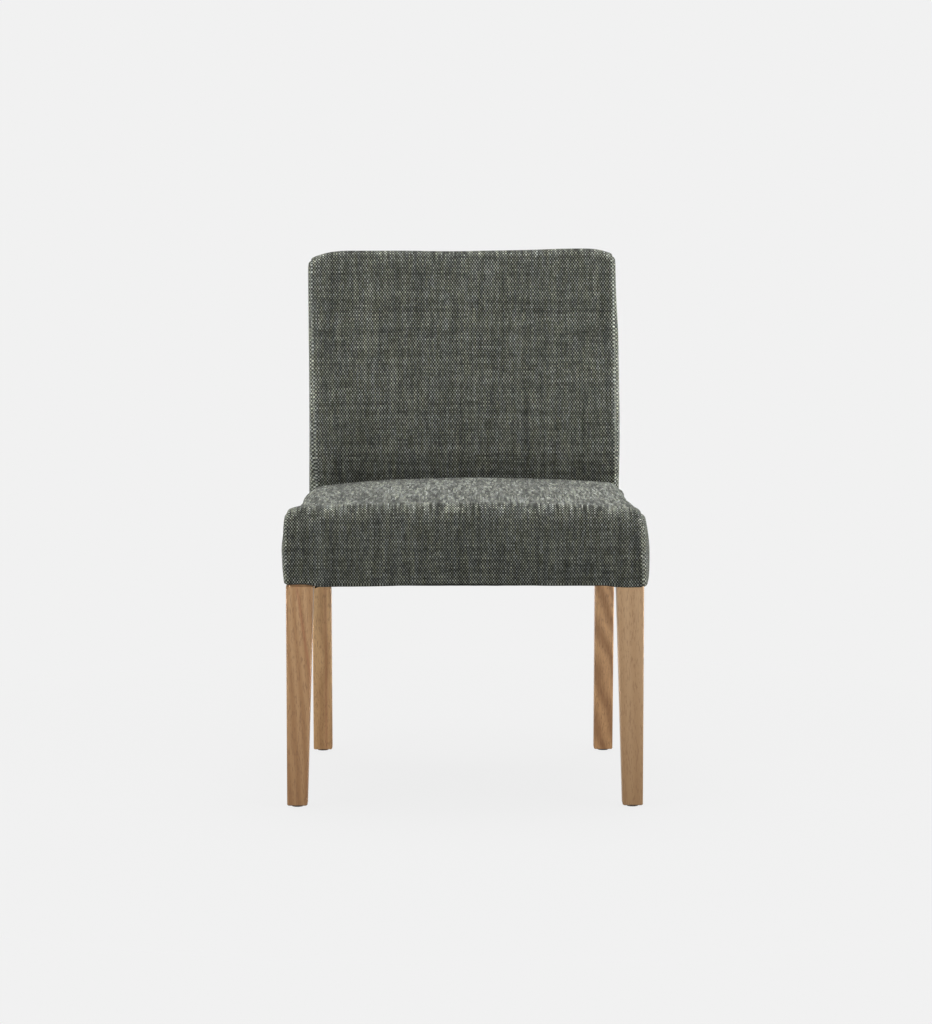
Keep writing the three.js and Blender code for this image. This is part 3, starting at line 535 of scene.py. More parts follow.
def side_of_seat(skin, sign, top, front):
    """A side panel of the seat, sewn to the deck's edge and the face's edge, and its hem."""
    last = top[-1]
    beside_back = of(BACK_OUTERS, sign)[0] + SEAT_BESIDE_BACK
    behind = spaced(last[1] + SEAT_BEHIND_DECK, SEAT_LENGTH - SEAT_SIDE_SHORT, GRID)
    top = top + [(sign * beside_back, a, last[2]) for a in behind]
    b_top, b_low = front[0][2], front[-1][2]
    a_start, a_end = top[0][1], top[-1][1]
    first_pull = abs(top[0][0]) + GROOVE - seat_line(a_start)
    rows, cloth = [], []
    for x_front, a_front, b_front in front:
        height = (b_front - b_low) / (b_top - b_low)
        row, flat = [], []
        drawn = smooth(height, SEAT_DRAWN_SHARE, 1)
        pucker_share, wave_share = min(1, height * SEAT_PUCKER_RISE), min(1, height * SEAT_WAVE_RISE)
        seam_pull = abs(x_front) + GROOVE - seat_line(a_front) - first_pull * drawn
        for x_top, a_top, b_at in top:
            along = (a_top - a_start) / (a_end - a_start)
            a = mixed(a_front, a_end, along)
            b = b_low + (b_front - b_low) * (b_at - b_low) / (b_top - b_low)
            behind_seam = a - a_front
            below_seam = b_at - b
            near = min(behind_seam, below_seam, a_end - a)
            start = math.sin(math.pi / 2 * min(1, behind_seam / SEAT_SWELL_RUN))
            end = math.sin(math.pi / 2 * min(1, (a_end - a) / SEAT_SWELL_RUN))
            swell = curve(height, SEAT_SWELL_HEIGHTS, of(SEAT_SWELLS, sign))
            swell = swell * mixed(1, SEAT_REAR_SWELL_SHARE, along) * start * end
            pull = (abs(x_top) + GROOVE - seat_line(a_top)) * drawn
            x = seat_line(a) + pull + seam_pull * (1 - start) + swell
            x -= groove(near)
            run = b if behind_seam < below_seam else a
            x += pucker(run, near, SIDE_PUCKER_SEED * sign) * pucker_share
            x += waves((sign, a, b), SEAT_SEED + 1) * smooth(near, 0, WAVE_FADE) * wave_share
            row.append((sign * x, a, b))
            flat.append((a, b))
        row.append((row[-1][0] - sign * CORNER_TURN, SEAT_LENGTH + SEAT_SIDE_LAP, row[-1][2]))
        flat.append((flat[-1][0] + CORNER_TURN, flat[-1][1]))
        rows.append(row)
        cloth.append(flat)
    sew_on(rows, top, front)
    folds = []
    for foot in rows[-1]:
        at_leg = max(
            1 - smooth(foot[1], LEG_SIZE, LEG_SIZE + HEM_LEG_FADE),
            smooth(foot[1], POST_FRONT - HEM_LEG_FADE, POST_FRONT),
        )
        reach = mixed(HEM_RETURN, HEM_AT_LEG, at_leg)
        mitre = 1 - min(1, (foot[1] - rows[-1][0][1]) / LEG_SIZE)
        places = fold_places((foot[0], foot[1]), (-sign, 0), reach, foot[2] - HEM_RADIUS)
        folds.append([(x, a + s * mitre, b) for x, a, b, s in places])
    add_hem(rows, cloth, folds, 1)
    skin.grid([[seat_place(p) for p in row] for row in rows], cloth, flip=sign < 0)


# Back, in places (u, v, w) of its own leaning frame: v up the posts' front faces, w towards the front

TOP_DECK = BACK_TOP - BACK_ROLL


def leaned(place):
    """The world's place of a place (u, v, w)."""
    u, v, w = place
    y = FRONT + POST_FRONT + v * math.sin(LEAN) - w * math.cos(LEAN)
    return u, y, PIVOT + v * math.cos(LEAN) + w * math.sin(LEAN)


def to_lean(a, z):
    """(v, w) of a place at a distance behind the front face and a height."""
    back, up = a - POST_FRONT, z - PIVOT
    return (
        back * math.sin(LEAN) + up * math.cos(LEAN),
        up * math.sin(LEAN) - back * math.cos(LEAN),
    )


def post_depth(v):
    return mixed(POST_DEPTH, POST_TOP_DEPTH, v / POST_TOP)


def bend_places(out):
    """The rear of the posts round their bend, as (v, w), with a distance added behind."""
    end = Vector((BEND, -post_depth(BEND) - out))
    start = Vector(to_lean(SEAT_LENGTH + out, RAIL_TOP))
    knee = Vector(to_lean(SEAT_LENGTH + out, PIVOT))
    shares = spaced(0, 1, BEND_STEP_SHARE)
    return [start * (1 - t) ** 2 + knee * 2 * t * (1 - t) + end * t * t for t in shares]


BEND_PLACES = bend_places(0)


def rear_w(v):
    """The rear of the posts at a height up the lean."""
    if v >= BEND:
        return -post_depth(v)
    return float(np.interp(v, [p[0] for p in BEND_PLACES], [p[1] for p in BEND_PLACES]))


def top_drop(inset, sign):
    """How far the back's top falls towards a corner of its front panel."""
    return corner_drop(inset, of(BACK_CORNER_WIDE, sign), of(BACK_CORNER_DEEP, sign), BACK_CORNER_POWER)


def back_point(spot, lane):
    """A point of the back's front panel. spot is (v, w, out_v, out_w, kind)."""
    v, w, out_v, out_w, _ = spot
    halves = [curve(v, BACK_HEIGHTS, seams) for seams in BACK_SEAMS]
    x, sign, inset = lane_place(lane, halves)
    across = abs(x) / of(halves, sign)
    up = min(1, max(0, v / BACK_TOP))
    peak_power = math.log(0.5) / math.log(BACK_CROWN_PEAK)
    rise = BACK_CROWN * (1 - across ** BACK_CROWN_POWER) * math.sin(math.pi * up ** peak_power) * out_w
    sunk = groove(inset)
    wave = waves((x, v, w), BACK_SEED) * smooth(inset, 0, WAVE_FADE)
    rise += pucker(v - w, inset, BACK_PUCKER_SEED * sign) + wave - sunk
    near_top = smooth(v, BACK_TOP - BACK_TOP_RUN, TOP_DECK)
    drop = top_drop(inset, sign) * near_top
    lift = curve(x, TOP_PLACES, TOP_LIFTS) * near_top
    crease = BACK_CREASE_DEEP * min(1, max(0, 1 - v / BACK_CREASE_RUN)) ** 2 * out_w
    crease *= mixed(BACK_CREASE_AT_SEAM, 1, smooth(inset, 0, BACK_CREASE_FADE))
    return x - sign * sunk, v + out_v * rise - drop + lift, w + out_w * rise - crease


def back_spots():
    """The back's side view from the rear of its top, over the roll, to the tuck at its foot."""
    spots = []
    for w in reversed(gathered(BACK_PAD - BACK_ROLL, rear_w(BACK_TOP), BACK_TOP_GRID)):
        spots.append((BACK_TOP, w, 1, 0, "top"))
    for angle in spaced(0, 90, BACK_ROLL_ANGLE)[1:]:
        turn = math.radians(angle)
        v = TOP_DECK + BACK_ROLL * math.cos(turn)
        w = BACK_PAD - BACK_ROLL + BACK_ROLL * math.sin(turn)
        spots.append((v, w, math.cos(turn), math.sin(turn), "roll"))
    for v in spaced(TOP_DECK, BACK_FOOT, FINE_GRID)[1:]:
        spots.append((v, BACK_PAD, 0, 1, "face"))
    for share in BACK_TUCK_SHARES:
        spots.append((BACK_FOOT - BACK_TUCK * share, BACK_PAD, 0, 1, "tuck"))
    return spots


def build_back():
    """The back's front panel, and its two side strips."""
    skin = Skin(stretch=BACK_STRETCH)
    spots = back_spots()
    lanes = crossways(2 * of(BACK_SEAMS, LEFT)[0])
    rows = [[back_point(spot, lane) for lane in lanes] for spot in spots]
    cloth = cloth_rows(rows, [(-out_w, out_v) for _, _, out_v, out_w, _ in spots])
    rear_edge = [(p[0], p[1] - REAR_LAP, p[2] - REAR_DROP) for p in rows[0]]
    rear_cloth = [(p[0], REAR_LAP) for p in rear_edge]
    skin.grid([[leaned(p) for p in row] for row in [rear_edge] + rows], [rear_cloth] + cloth)
    for sign in (LEFT, RIGHT):
        side_of_back(skin, sign, *side_edges(rows, spots, sign))
    piece = skin.build("back_upholstery", CLOTH_WALL)
    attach(piece, "root")
    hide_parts("back_cover", "back_foam")


def outer_half(sign, v):
    """Half the width of the back over its side strips."""
    return curve(v, BACK_HEIGHTS, of(BACK_OUTERS, sign))


def side_of_back(skin, sign, top, front):
    """A side strip of the back, from the front seam to the rear of the posts."""
    v_top, v_low, w_low = front[0][1], front[-1][1], front[-1][2]
    w_start, w_end = top[0][2], top[-1][2]
    first_pull = abs(top[0][0]) + GROOVE - outer_half(sign, top[0][1])
    rows, cloth = [], []
    for u_front, v_front, w_front in front:
        drawn = shoulder((v_top - v_front) / of(BACK_SHOULDER, sign))
        row, flat = [], []
        seam_pull = abs(u_front) + GROOVE - outer_half(sign, v_front) - first_pull * drawn
        run = min(STRIP_RUN, STRIP_RUN_SHARE * w_front)
        for u_top, v_at, w_top in top:
            along = (w_top - w_start) / (w_end - w_start)
            foot = v_low + math.tan(LEAN) * (w_low - mixed(w_low, rear_w(STRIP_FOOT), along))
            v = foot + (v_front - v_low) * (v_at - foot) / (v_top - v_low)
            w = mixed(w_front, rear_w(v), along)
            behind_seam = w_front - w
            near = min(behind_seam, v_at - v)
            pull = (abs(u_top) + GROOVE - outer_half(sign, v_at)) * drawn
            u = outer_half(sign, v) + pull + seam_pull * shoulder(behind_seam / run)
            u -= groove(near)
            u += waves((sign, v, w), BACK_SEED + 1) * smooth(near, 0, WAVE_FADE) * STRIP_WAVE_SHARE
            row.append((sign * u, v, w))
            flat.append((-w, v))
        u_end, v_end, w_rear = row[-1]
        row.append((u_end - sign * CORNER_TURN, v_end, w_rear - REAR_DROP))
        flat.append((-w_rear + CORNER_TURN, v_end))
        rows.append(row)
        cloth.append(flat)
    sew_on(rows, top, front)
    skin.grid([[leaned(p) for p in row] for row in rows], cloth, flip=sign < 0)


# Outside back: one stretched cloth from under the rear rail to the top of the back

PANEL_WALL = 0.0016
PANEL_GAP = 0.0008
PANEL_MARGIN = 0.0028
PANEL_GRID = 0.009
PANEL_RETURN = 0.022
PANEL_RETURN_COLUMNS = 3
PANEL_TURN = ((0.0022, 0.0022), (0.0007, 0.0027))
PANEL_FOOT = 0.005
PANEL_UNDER = 0.001
PANEL_BESIDE_POST = 0.002
PANEL_EDGE = 0.0016
PANEL_EDGE_REACH = 0.003
PANEL_WAVE_SHARE = 0.4
PANEL_TOP_RUN = 0.11
PANEL_SEED = 17.0


def panel_profile(gap, top):
    """Side view of the outside back: ("flat", depth, height) below the bend, ("lean", v, w) above it."""
    rear = SEAT_LENGTH + gap
    turn_in, turn_up = PANEL_TURN[0]
    shares = [1 - k / PANEL_RETURN_COLUMNS for k in range(PANEL_RETURN_COLUMNS)]
    profile = [("flat", rear - PANEL_RETURN * share, HEM + turn_up) for share in shares]
    profile += [("flat", rear - inwards, HEM + up) for inwards, up in PANEL_TURN]
    profile += [("flat", rear, z) for z in spaced(HEM + PANEL_FOOT, RAIL_TOP, PANEL_GRID)]
    profile += [("lean", p[0], p[1]) for p in bend_places(gap)[1:]]
    return profile + [("lean", v, -post_depth(v) - gap) for v in spaced(BEND, top, PANEL_GRID)[1:]]


def build_rear_panel():
    skin = Skin(stretch=BACK_STRETCH)
    gap = PANEL_GAP + PANEL_WALL
    half = REAR_HALF - PANEL_MARGIN
    top = BACK_TOP - PANEL_MARGIN
    lanes = crossways(2 * half)
    rows, cloth, run, last = [], [], 0, None
    for kind, first, second in panel_profile(gap, top):
        row, flat = [], []
        for lane in lanes:
            x, sign, inset = lane_place(lane, [half, half])
            tight = waves((x, first, 1), PANEL_SEED) * smooth(inset, 0, WAVE_FADE)
            tight = max(0, tight) * PANEL_WAVE_SHARE
            edge = PANEL_EDGE * max(0, 1 - inset / PANEL_EDGE_REACH) ** 2
            if kind == "flat":
                under = first < SEAT_LENGTH + gap - PANEL_UNDER
                at_post = under and abs(x) > POST_INNER - PANEL_BESIDE_POST
                row.append(None if at_post else (x, FRONT + first - edge + tight, second))
            else:
                near_top = smooth(first, BACK_TOP - PANEL_TOP_RUN, top)
                seam = of(BACK_SEAMS, sign)[-1]
                outside = (abs(x) - seam) / (outer_half(sign, first) - seam)
                drop = top_drop(max(0, seam - abs(x)), sign) + of(BACK_SHOULDER, sign) * shoulder(1 - outside)
                v = first + (curve(x, TOP_PLACES, TOP_LIFTS) - drop) * near_top
                rim = PANEL_EDGE * max(0, 1 - (top - first) / PANEL_EDGE_REACH) ** 2
                row.append(leaned((x, v, second + max(edge, rim) - tight)))
            flat.append(x)
        middle = Vector(row[len(row) // 2])
        if last is not None:
            run += (middle - last).length
        last = middle
        rows.append(row)
        cloth.append([(x, run) for x in flat])
    skin.grid(rows, cloth)
    piece = skin.build("outside_back_cloth", PANEL_WALL)
    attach(piece, "root")
    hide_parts("outside_back_panel")


# Dust cover, notched round the legs, with one loose corner that hangs by the front left leg

DUST_WALL = 0.0006
DUST_MARGIN = 0.013
DUST_NOTCH = 0.002
DUST_SLACK = 0.0001
DUST_BELOW_HEM = 0.0004
DUST_SAG = 0.0028
DUST_CRUMPLE = 0.0006
DUST_CRUMPLE_LENGTH = 0.035
DUST_LOOSE = 0.0042
DUST_LOOSE_WIDE = 0.012
DUST_LOOSE_LONG = 0.02
DUST_GRID = 0.006
DUST_LONG_GRID = 0.012
DUST_CROSS_GRID = 0.011


def build_dust_cover():
    skin = Skin()
    rows, cloth = [], []
    front, rear = DUST_MARGIN, SEAT_LENGTH - DUST_MARGIN
    leg_inner, post_inner = LEG_INNER - DUST_NOTCH, POST_INNER - DUST_NOTCH
    leg_rear, post_front = LEG_SIZE + DUST_NOTCH, POST_FRONT - DUST_NOTCH
    depths = spaced(front, leg_rear, DUST_GRID) + spaced(leg_rear, post_front, DUST_LONG_GRID)
    depths += spaced(post_front, rear, DUST_GRID)
    columns = len(spaced(-FRONT_HALF, FRONT_HALF, DUST_CROSS_GRID)) - 1
    for a in sorted(set(depths)):
        half = seat_line(a) - DUST_MARGIN
        at_legs, at_posts = a < leg_rear - DUST_SLACK, a > post_front + DUST_SLACK
        limit = leg_inner if at_legs else post_inner if at_posts else half
        row, flat = [], []
        for k in range(columns + 1):
            x = mixed(-limit, limit, k / columns)
            sag = DUST_SAG * (1 - (x / half) ** 2) * math.sin(math.pi * (a - front) / (rear - front))
            crumple = DUST_CRUMPLE * noise.noise(Vector((x, a, 0)) / DUST_CRUMPLE_LENGTH)
            loose = smooth(-x, leg_inner - DUST_LOOSE_WIDE, leg_inner)
            loose = loose * (1 - smooth(a, front, front + DUST_LOOSE_LONG))
            row.append((x, FRONT + a, HEM - DUST_BELOW_HEM - sag - abs(crumple) - DUST_LOOSE * loose))
            flat.append((x, a))
        rows.append(row)
        cloth.append(flat)
    skin.grid(rows, cloth, flip=True)
    piece = skin.build("dust_cloth", DUST_WALL, levels=0)
    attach(piece, "root")
    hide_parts("dust_cover")


# Materials

def feed(tree, source, socket):
    """Links a socket to a node's output, or sets its value."""
    if isinstance(source, bpy.types.NodeSocket):
        tree.links.new(source, socket)
    else:
        socket.default_value = source


def new_node(tree, kind, *sources, **settings):
    """A new node with its own settings, and its inputs fed in their order."""
    node = tree.nodes.new("ShaderNode" + kind)
    for name, setting in settings.items():
        setattr(node, name, setting)
    for source, socket in zip(sources, node.inputs):
        feed(tree, source, socket)
    return node


class Graph:
    """Short calls for a material's nodes."""

    def __init__(self, name):
        self.material = bpy.data.materials.new(name)
        self.material.use_nodes = True
        self.tree = self.material.node_tree
        self.shader = self.tree.nodes["Principled BSDF"]

    def math(self, operation, *sources, clamp=False):
        return new_node(self.tree, "Math", *sources, operation=operation, use_clamp=clamp).outputs[0]

    def plus(self, first, second):
        return self.math("ADD", first, second)

    def less(self, first, second):
        return self.math("SUBTRACT", first, second)

    def times(self, first, second):
        return self.math("MULTIPLY", first, second)

    def floor(self, value):
        return self.math("FLOOR", value)

    def mix(self, factor, first, second, blend="MIX"):
        node = new_node(self.tree, "Mix", factor, data_type="RGBA", blend_type=blend)
        for value, socket in zip((first, second), node.inputs[6:8]):
            feed(self.tree, (*value, 1) if isinstance(value, tuple) else value, socket)
        return node.outputs[2]

    def tinted(self, colour, tint):
        """One colour times another."""
        return self.mix(1.0, colour, tint, "MULTIPLY")

    def grey(self, value):
        """A colour from a value."""
        return new_node(self.tree, "CombineColor", value, value, value).outputs[0]

    def vector(self, x, y, z=0.0):
        return new_node(self.tree, "CombineXYZ", x, y, z).outputs[0]

    def split(self, vector):
        return new_node(self.tree, "SeparateXYZ", vector).outputs

    def stretched(self, vector, scales, shift=(0, 0, 0)):
        node = new_node(self.tree, "Mapping", vector, shift)
        node.inputs["Scale"].default_value = scales
        return node.outputs[0]

    def noise(self, place, scales, detail=2, roughness=0.5):
        """Noise at a place, with a scale for each axis."""
        node = new_node(self.tree, "TexNoise", self.stretched(place, scales))
        node.inputs["Scale"].default_value = 1
        node.inputs["Detail"].default_value = detail
        node.inputs["Roughness"].default_value = roughness
        return node.outputs["Fac"]

    def dice(self, x, y, seed=0.0):
        """A random value from 0 to 1 for each pair of whole numbers."""
        node = new_node(self.tree, "TexWhiteNoise", self.vector(x, y, seed), noise_dimensions="3D")
        return node.outputs["Value"]

    def ramp(self, value, low, high, start=0.0, end=1.0):
        """A value moved from one range to another, and kept inside it."""
        return new_node(self.tree, "MapRange", value, low, high, start, end, clamp=True).outputs[0]

    def facing_up(self):
        """How far the surface faces up: 1 on a level top."""
        return self.split(new_node(self.tree, "NewGeometry").outputs["Normal"])[2]

    def object_place(self):
        return new_node(self.tree, "TexCoord").outputs["Object"]

    def cloth_place(self):
        return new_node(self.tree, "UVMap", uv_map="Weave").outputs[0]

    def bump(self, height, distance, strength):
        node = new_node(self.tree, "Bump", strength, distance)
        feed(self.tree, height, node.inputs["Height"])
        return node.outputs[0]

    def finish(self, colour, roughness, normal, **settings):
        """Feeds the shader, and gives the material."""
        settings = {"Base_Color": colour, "Roughness": roughness, "Normal": normal, **settings}
        for name, source in settings.items():
            feed(self.tree, source, self.shader.inputs[name.replace("_", " ")])
        return self.material


# Upholstery cloth: pitches and scales in metres or per metre, tones as (least, most), and random seeds
SEAT_STRETCH = (1.02, 1.0)
BACK_STRETCH = (0.943, 0.892)
WARP_PITCH = 0.00216
WEFT_PITCH = 0.00290
WARP_COLOUR = (0.0175, 0.0196, 0.0164)
WEFT_COLOUR = (0.164, 0.171, 0.145)
WANDER_SCALES = (18, 18, 1)
WARP_WANDER = 0.9
WEFT_WANDER = 0.7
ZONE_SCALES = (15, 21, 1)
ZONE_EDGES = (0.38, 0.62)
FLOAT_SLANT = (0.7, 0.15)
FLOAT_ROUND = 2.7
SLUB_RANGE = (0.25, 0.75)
WARP_TONES = (0.2, 1.5)
WARP_DYE = 0.7
WARP_SLUB_SCALES = (7.3, 0.085, 1)
WEFT_TONES = (0.5, 1.1)
WEFT_DYE = 0.4
WEFT_SLUB_SCALES = (0.05, 9.1, 1)
WEFT_SLUB_SEED = 4.0
SLUB_LENGTH = 0.020
# Slub tones on level surfaces are strong, as painted glints; upright faces keep the milder slubs
SLUB_GLINT_TONES = (0.3, 1.7)
LONG_SLUB_GLINT_TONES = (0.5, 1.5)
UPRIGHT_SLUB_TONES = (0.8, 1.2)
GLINT_LEVEL_EDGES = (0.35, 0.95)
# Painted shade: floats darken towards their edges, and rows darken in the gaps between them
FLOAT_SHADE_TONES = (0.55, 1.1)
FLOAT_HIGH = 0.9
ROW_GAP_SHADE_EDGES = (0.28, 0.5)
ROW_GAP_SHADE_DEPTHS = (0.25, 0.6)
FLECK_TONES = (0.68, 1.32)
STREAK_SCALES = (75, 4, 1)
STREAK_TONES = (0.78, 1.22)
WARM_CAST = (1.03, 1.02, 0.94)
COOL_CAST = (0.97, 0.98, 1.08)
FIBRE_SCALES = (2600, 2600, 1)
FIBRE_TONES = (0.93, 1.07)
FIBRE_HEIGHT = 0.35
SLUB_SEED, WARP_DYE_SEED, FLECK_SEED, SLUB_SHIFT_SEED, WEFT_DYE_SEED, LONG_SLUB_SEED, CAST_SEED = (
    2.0, 3.0, 5.0, 6.0, 8.0, 12.0, 21.0,
)
NOISE_MIDDLE = (0.3, 0.7)


def upholstery_cloth():
    """A coarse plain weave: light weft over dark warp, with uneven, slubby yarns, painted glints on level
    tops, and painted shade over its floats and between its rows.
    """
    g = Graph("upholstery_cloth")
    x, y, _ = g.split(g.cloth_place())
    wander = g.noise(g.cloth_place(), WANDER_SCALES)
    zone = g.ramp(g.noise(g.cloth_place(), ZONE_SCALES), *ZONE_EDGES)
    s = g.plus(g.math("DIVIDE", x, WARP_PITCH), g.times(wander, WARP_WANDER))
    t = g.plus(g.math("DIVIDE", y, WEFT_PITCH), g.times(wander, WEFT_WANDER))
    warp_index, weft_index = g.floor(s), g.floor(t)
    over = g.math("PINGPONG", g.plus(warp_index, weft_index), 1)

    # Shape of one float, from -0.5 to 0.5 along and across it
    along = g.less(g.less(t, weft_index), 0.5)
    upright = g.less(g.less(s, warp_index), 0.5)
    across = g.plus(upright, g.times(along, g.ramp(zone, 0, 1, *FLOAT_SLANT)))
    dome = g.math(
        "MULTIPLY",
        g.math("COSINE", g.times(across, FLOAT_ROUND)),
        g.math("COSINE", g.times(along, FLOAT_ROUND)),
        clamp=True,
    )

    # Tones of single yarns
    warp_slub = g.noise(g.vector(warp_index, t), WARP_SLUB_SCALES)
    weft_slub = g.noise(g.vector(s, weft_index, WEFT_SLUB_SEED), WEFT_SLUB_SCALES)
    warp_dye = g.times(g.dice(warp_index, WARP_DYE_SEED), WARP_DYE)
    weft_dye = g.times(g.dice(weft_index, WEFT_DYE_SEED), WEFT_DYE)
    warp_tone = g.plus(g.ramp(warp_slub, *SLUB_RANGE, *WARP_TONES), warp_dye)
    weft_tone = g.plus(g.ramp(weft_slub, *SLUB_RANGE, *WEFT_TONES), weft_dye)
    warp_colour = g.tinted(WARP_COLOUR, g.grey(warp_tone))
    weft_colour = g.tinted(WEFT_COLOUR, g.grey(weft_tone))
    yarn = g.mix(over, warp_colour, weft_colour)

    # Slubs along the warp. On level surfaces their contrast is raised far above the upright faces': painted
    # glints, like those cloth shows at a grazing view
    slub_place = g.plus(g.math("DIVIDE", y, SLUB_LENGTH), g.dice(warp_index, SLUB_SHIFT_SEED))
    slub = g.dice(warp_index, g.floor(slub_place), SLUB_SEED)
    long_slub = g.dice(
        g.floor(g.math("DIVIDE", warp_index, 2)),
        g.floor(g.math("DIVIDE", slub_place, 2)),
        LONG_SLUB_SEED,
    )
    slub_and_glint_tones = g.times(g.ramp(slub, 0, 1, *SLUB_GLINT_TONES), g.ramp(long_slub, 0, 1, *LONG_SLUB_GLINT_TONES))
    upright_tones = g.ramp(slub, 0, 1, *UPRIGHT_SLUB_TONES)
    # Share of the painted glints: 1 on a level top
    level = g.ramp(g.facing_up(), *GLINT_LEVEL_EDGES)
    yarn = g.tinted(yarn, g.mix(level, g.grey(upright_tones), g.grey(slub_and_glint_tones)))

    # Streaks and casts along the warp
    streak = g.noise(g.cloth_place(), STREAK_SCALES)
    yarn = g.tinted(yarn, g.grey(g.ramp(streak, *NOISE_MIDDLE, *STREAK_TONES)))
    cast = g.dice(warp_index, g.floor(slub_place), CAST_SEED)
    yarn = g.tinted(yarn, g.mix(cast, WARM_CAST, COOL_CAST))

    # Painted shade over each float and in the gaps between rows, then random flecks and fibres
    gap = g.ramp(g.math("ABSOLUTE", along), *ROW_GAP_SHADE_EDGES)
    rows = g.less(1.0, g.times(gap, g.ramp(zone, 0, 1, *ROW_GAP_SHADE_DEPTHS)))
    shade = g.times(g.ramp(dome, 0.0, FLOAT_HIGH, *FLOAT_SHADE_TONES), rows)
    fleck = g.dice(warp_index, weft_index, FLECK_SEED)
    shade = g.times(shade, g.ramp(fleck, 0, 1, *FLECK_TONES))
    fibre = g.noise(g.cloth_place(), FIBRE_SCALES)
    shade = g.times(shade, g.ramp(fibre, *NOISE_MIDDLE, *FIBRE_TONES))
    height = g.plus(dome, g.times(fibre, FIBRE_HEIGHT))
    normal = g.bump(height, distance=0.0006, strength=0.35)
    return g.finish(
        g.tinted(yarn, g.grey(shade)), 0.92, normal,
        Sheen_Weight=0.03, Sheen_Roughness=0.5, Specular_IOR_Level=0.05,
    )


# Oak of the legs. Each leg has light and dark tones, rings, their wave and drift, pores and perhaps a streak.
# The rear legs' tones are lighter, as painted light against the shade behind the seat, and every leg darkens
# towards its foot as painted shade.
FRONT_LEFT_OAK = dict(light=(0.475, 0.289, 0.144), dark=(0.338, 0.182, 0.078), ring=520, wave=0.05,
                      drift=0.02, pore=0.5, streak=-0.0035, slant=-0.14)
FRONT_RIGHT_OAK = dict(light=(0.460, 0.300, 0.164), dark=(0.400, 0.248, 0.128), ring=330, wave=0.03,
                       drift=0.0, pore=0.42)
# The rear legs' tones, the light ones most, are lifted above the front legs': painted light against the shade
# they stand in behind the seat
REAR_LEFT_OAK_WITH_PAINTED_LIGHT = dict(light=(0.690, 0.443, 0.223), dark=(0.440, 0.248, 0.108), ring=430, wave=0.09,
                     drift=0.06, pore=0.45, streak=0.007)
REAR_RIGHT_OAK_WITH_PAINTED_LIGHT = dict(light=(0.700, 0.424, 0.217), dark=(0.340, 0.172, 0.074), ring=380, wave=0.10,
                      drift=0.26, pore=0.45)
# Painted shade: the legs turn darker and browner towards the floor, fully at this height below the hem
PAINTED_FOOT_SHADE = (0.715, 0.65, 0.555)
PAINTED_FOOT_SHADE_FULL_AT = -0.34
STREAK_COLOUR = (0.30, 0.115, 0.050)
STREAK_WAVE = 0.12
STREAK_EDGES = (0.0006, 0.0036)
PORE_COLOUR = (0.17, 0.082, 0.035)
PORE_EDGES = (0.54, 0.66)
SLOW_SCALES = (9, 9, 3.2)
GRAIN_SCALES = (420, 420, 11)
PORE_SCALES = (720, 720, 110)
RING_SKEW = 0.6


def oak(name, centre, light, dark, ring, wave, drift, pore, streak=None, slant=0.0):
    """Oiled oak. centre is a place on the leg's axis; the rest are the marks of one leg."""
    g = Graph(name)
    place = g.stretched(g.object_place(), (1, 1, 1), tuple(-c for c in centre))
    x, y, z = g.split(place)
    slow = g.noise(place, SLOW_SCALES)
    swing = g.times(g.less(slow, 0.5), wave)
    rings = g.plus(g.plus(x, g.times(y, RING_SKEW)), swing)
    rings = g.plus(rings, g.times(z, drift))
    band = g.ramp(g.math("SINE", g.times(rings, ring)), -1, 1)
    grain = g.noise(place, GRAIN_SCALES, 3)
    tone = g.plus(g.times(band, 0.5), g.times(grain, 0.6))
    colour = g.mix(g.ramp(tone, 0.2, 0.9), dark, light)
    # Painted shade, darker towards the foot of the leg
    colour = g.tinted(colour, g.mix(g.ramp(z, PAINTED_FOOT_SHADE_FULL_AT, 0.0), PAINTED_FOOT_SHADE, (1, 1, 1)))
    if streak is not None:
        line = g.less(g.plus(x, g.times(swing, STREAK_WAVE)), streak)
        away = g.math("ABSOLUTE", g.less(line, g.times(z, slant)))
        colour = g.mix(g.ramp(away, *STREAK_EDGES, 0.5, 0.0), colour, STREAK_COLOUR)
    pit = g.ramp(g.noise(place, PORE_SCALES), *PORE_EDGES)
    colour = g.mix(g.times(pit, pore), colour, PORE_COLOUR)
    height = g.less(g.times(grain, 0.4), pit)
    rough = g.ramp(grain, *NOISE_MIDDLE, 0.42, 0.55)
    return g.finish(colour, rough, g.bump(height, distance=0.0003, strength=0.4))


# Hidden materials, with dark and light tones
HARDWOOD_TONES = ((0.50, 0.35, 0.19), (0.66, 0.50, 0.30))
HARDWOOD_SCALES = (14, 60, 60)
SAW_MARK = (0.36, 0.23, 0.11)
SAW_MARK_SCALES = (500, 60, 60)
SAW_MARK_EDGES = (0.55, 0.75)
SAW_MARK_SHARE = 0.35
JUTE_TONES = ((0.30, 0.20, 0.09), (0.52, 0.39, 0.20))
JUTE_PITCH = 0.0016
ZINC_TONES = ((0.45, 0.43, 0.39), (0.66, 0.64, 0.60))
NYLON_TONES = ((0.030, 0.024, 0.019), (0.055, 0.045, 0.036))
FOAM_TONES = ((0.62, 0.52, 0.31), (0.80, 0.71, 0.47))
BLACK_TONES = ((0.009, 0.009, 0.009), (0.028, 0.028, 0.028))
ROUGHNESS_SPREAD = 0.06


def bare_wood():
    """Sawn hardwood of the hidden frame."""
    g = Graph("bare_hardwood")
    broad = g.noise(g.object_place(), HARDWOOD_SCALES, 3)
    saw = g.noise(g.object_place(), SAW_MARK_SCALES)
    colour = g.mix(g.ramp(broad, *NOISE_MIDDLE), *HARDWOOD_TONES)
    colour = g.mix(g.ramp(saw, *SAW_MARK_EDGES, 0, SAW_MARK_SHARE), colour, SAW_MARK)
    return g.finish(colour, 0.8, g.bump(saw, distance=0.0005, strength=0.5))


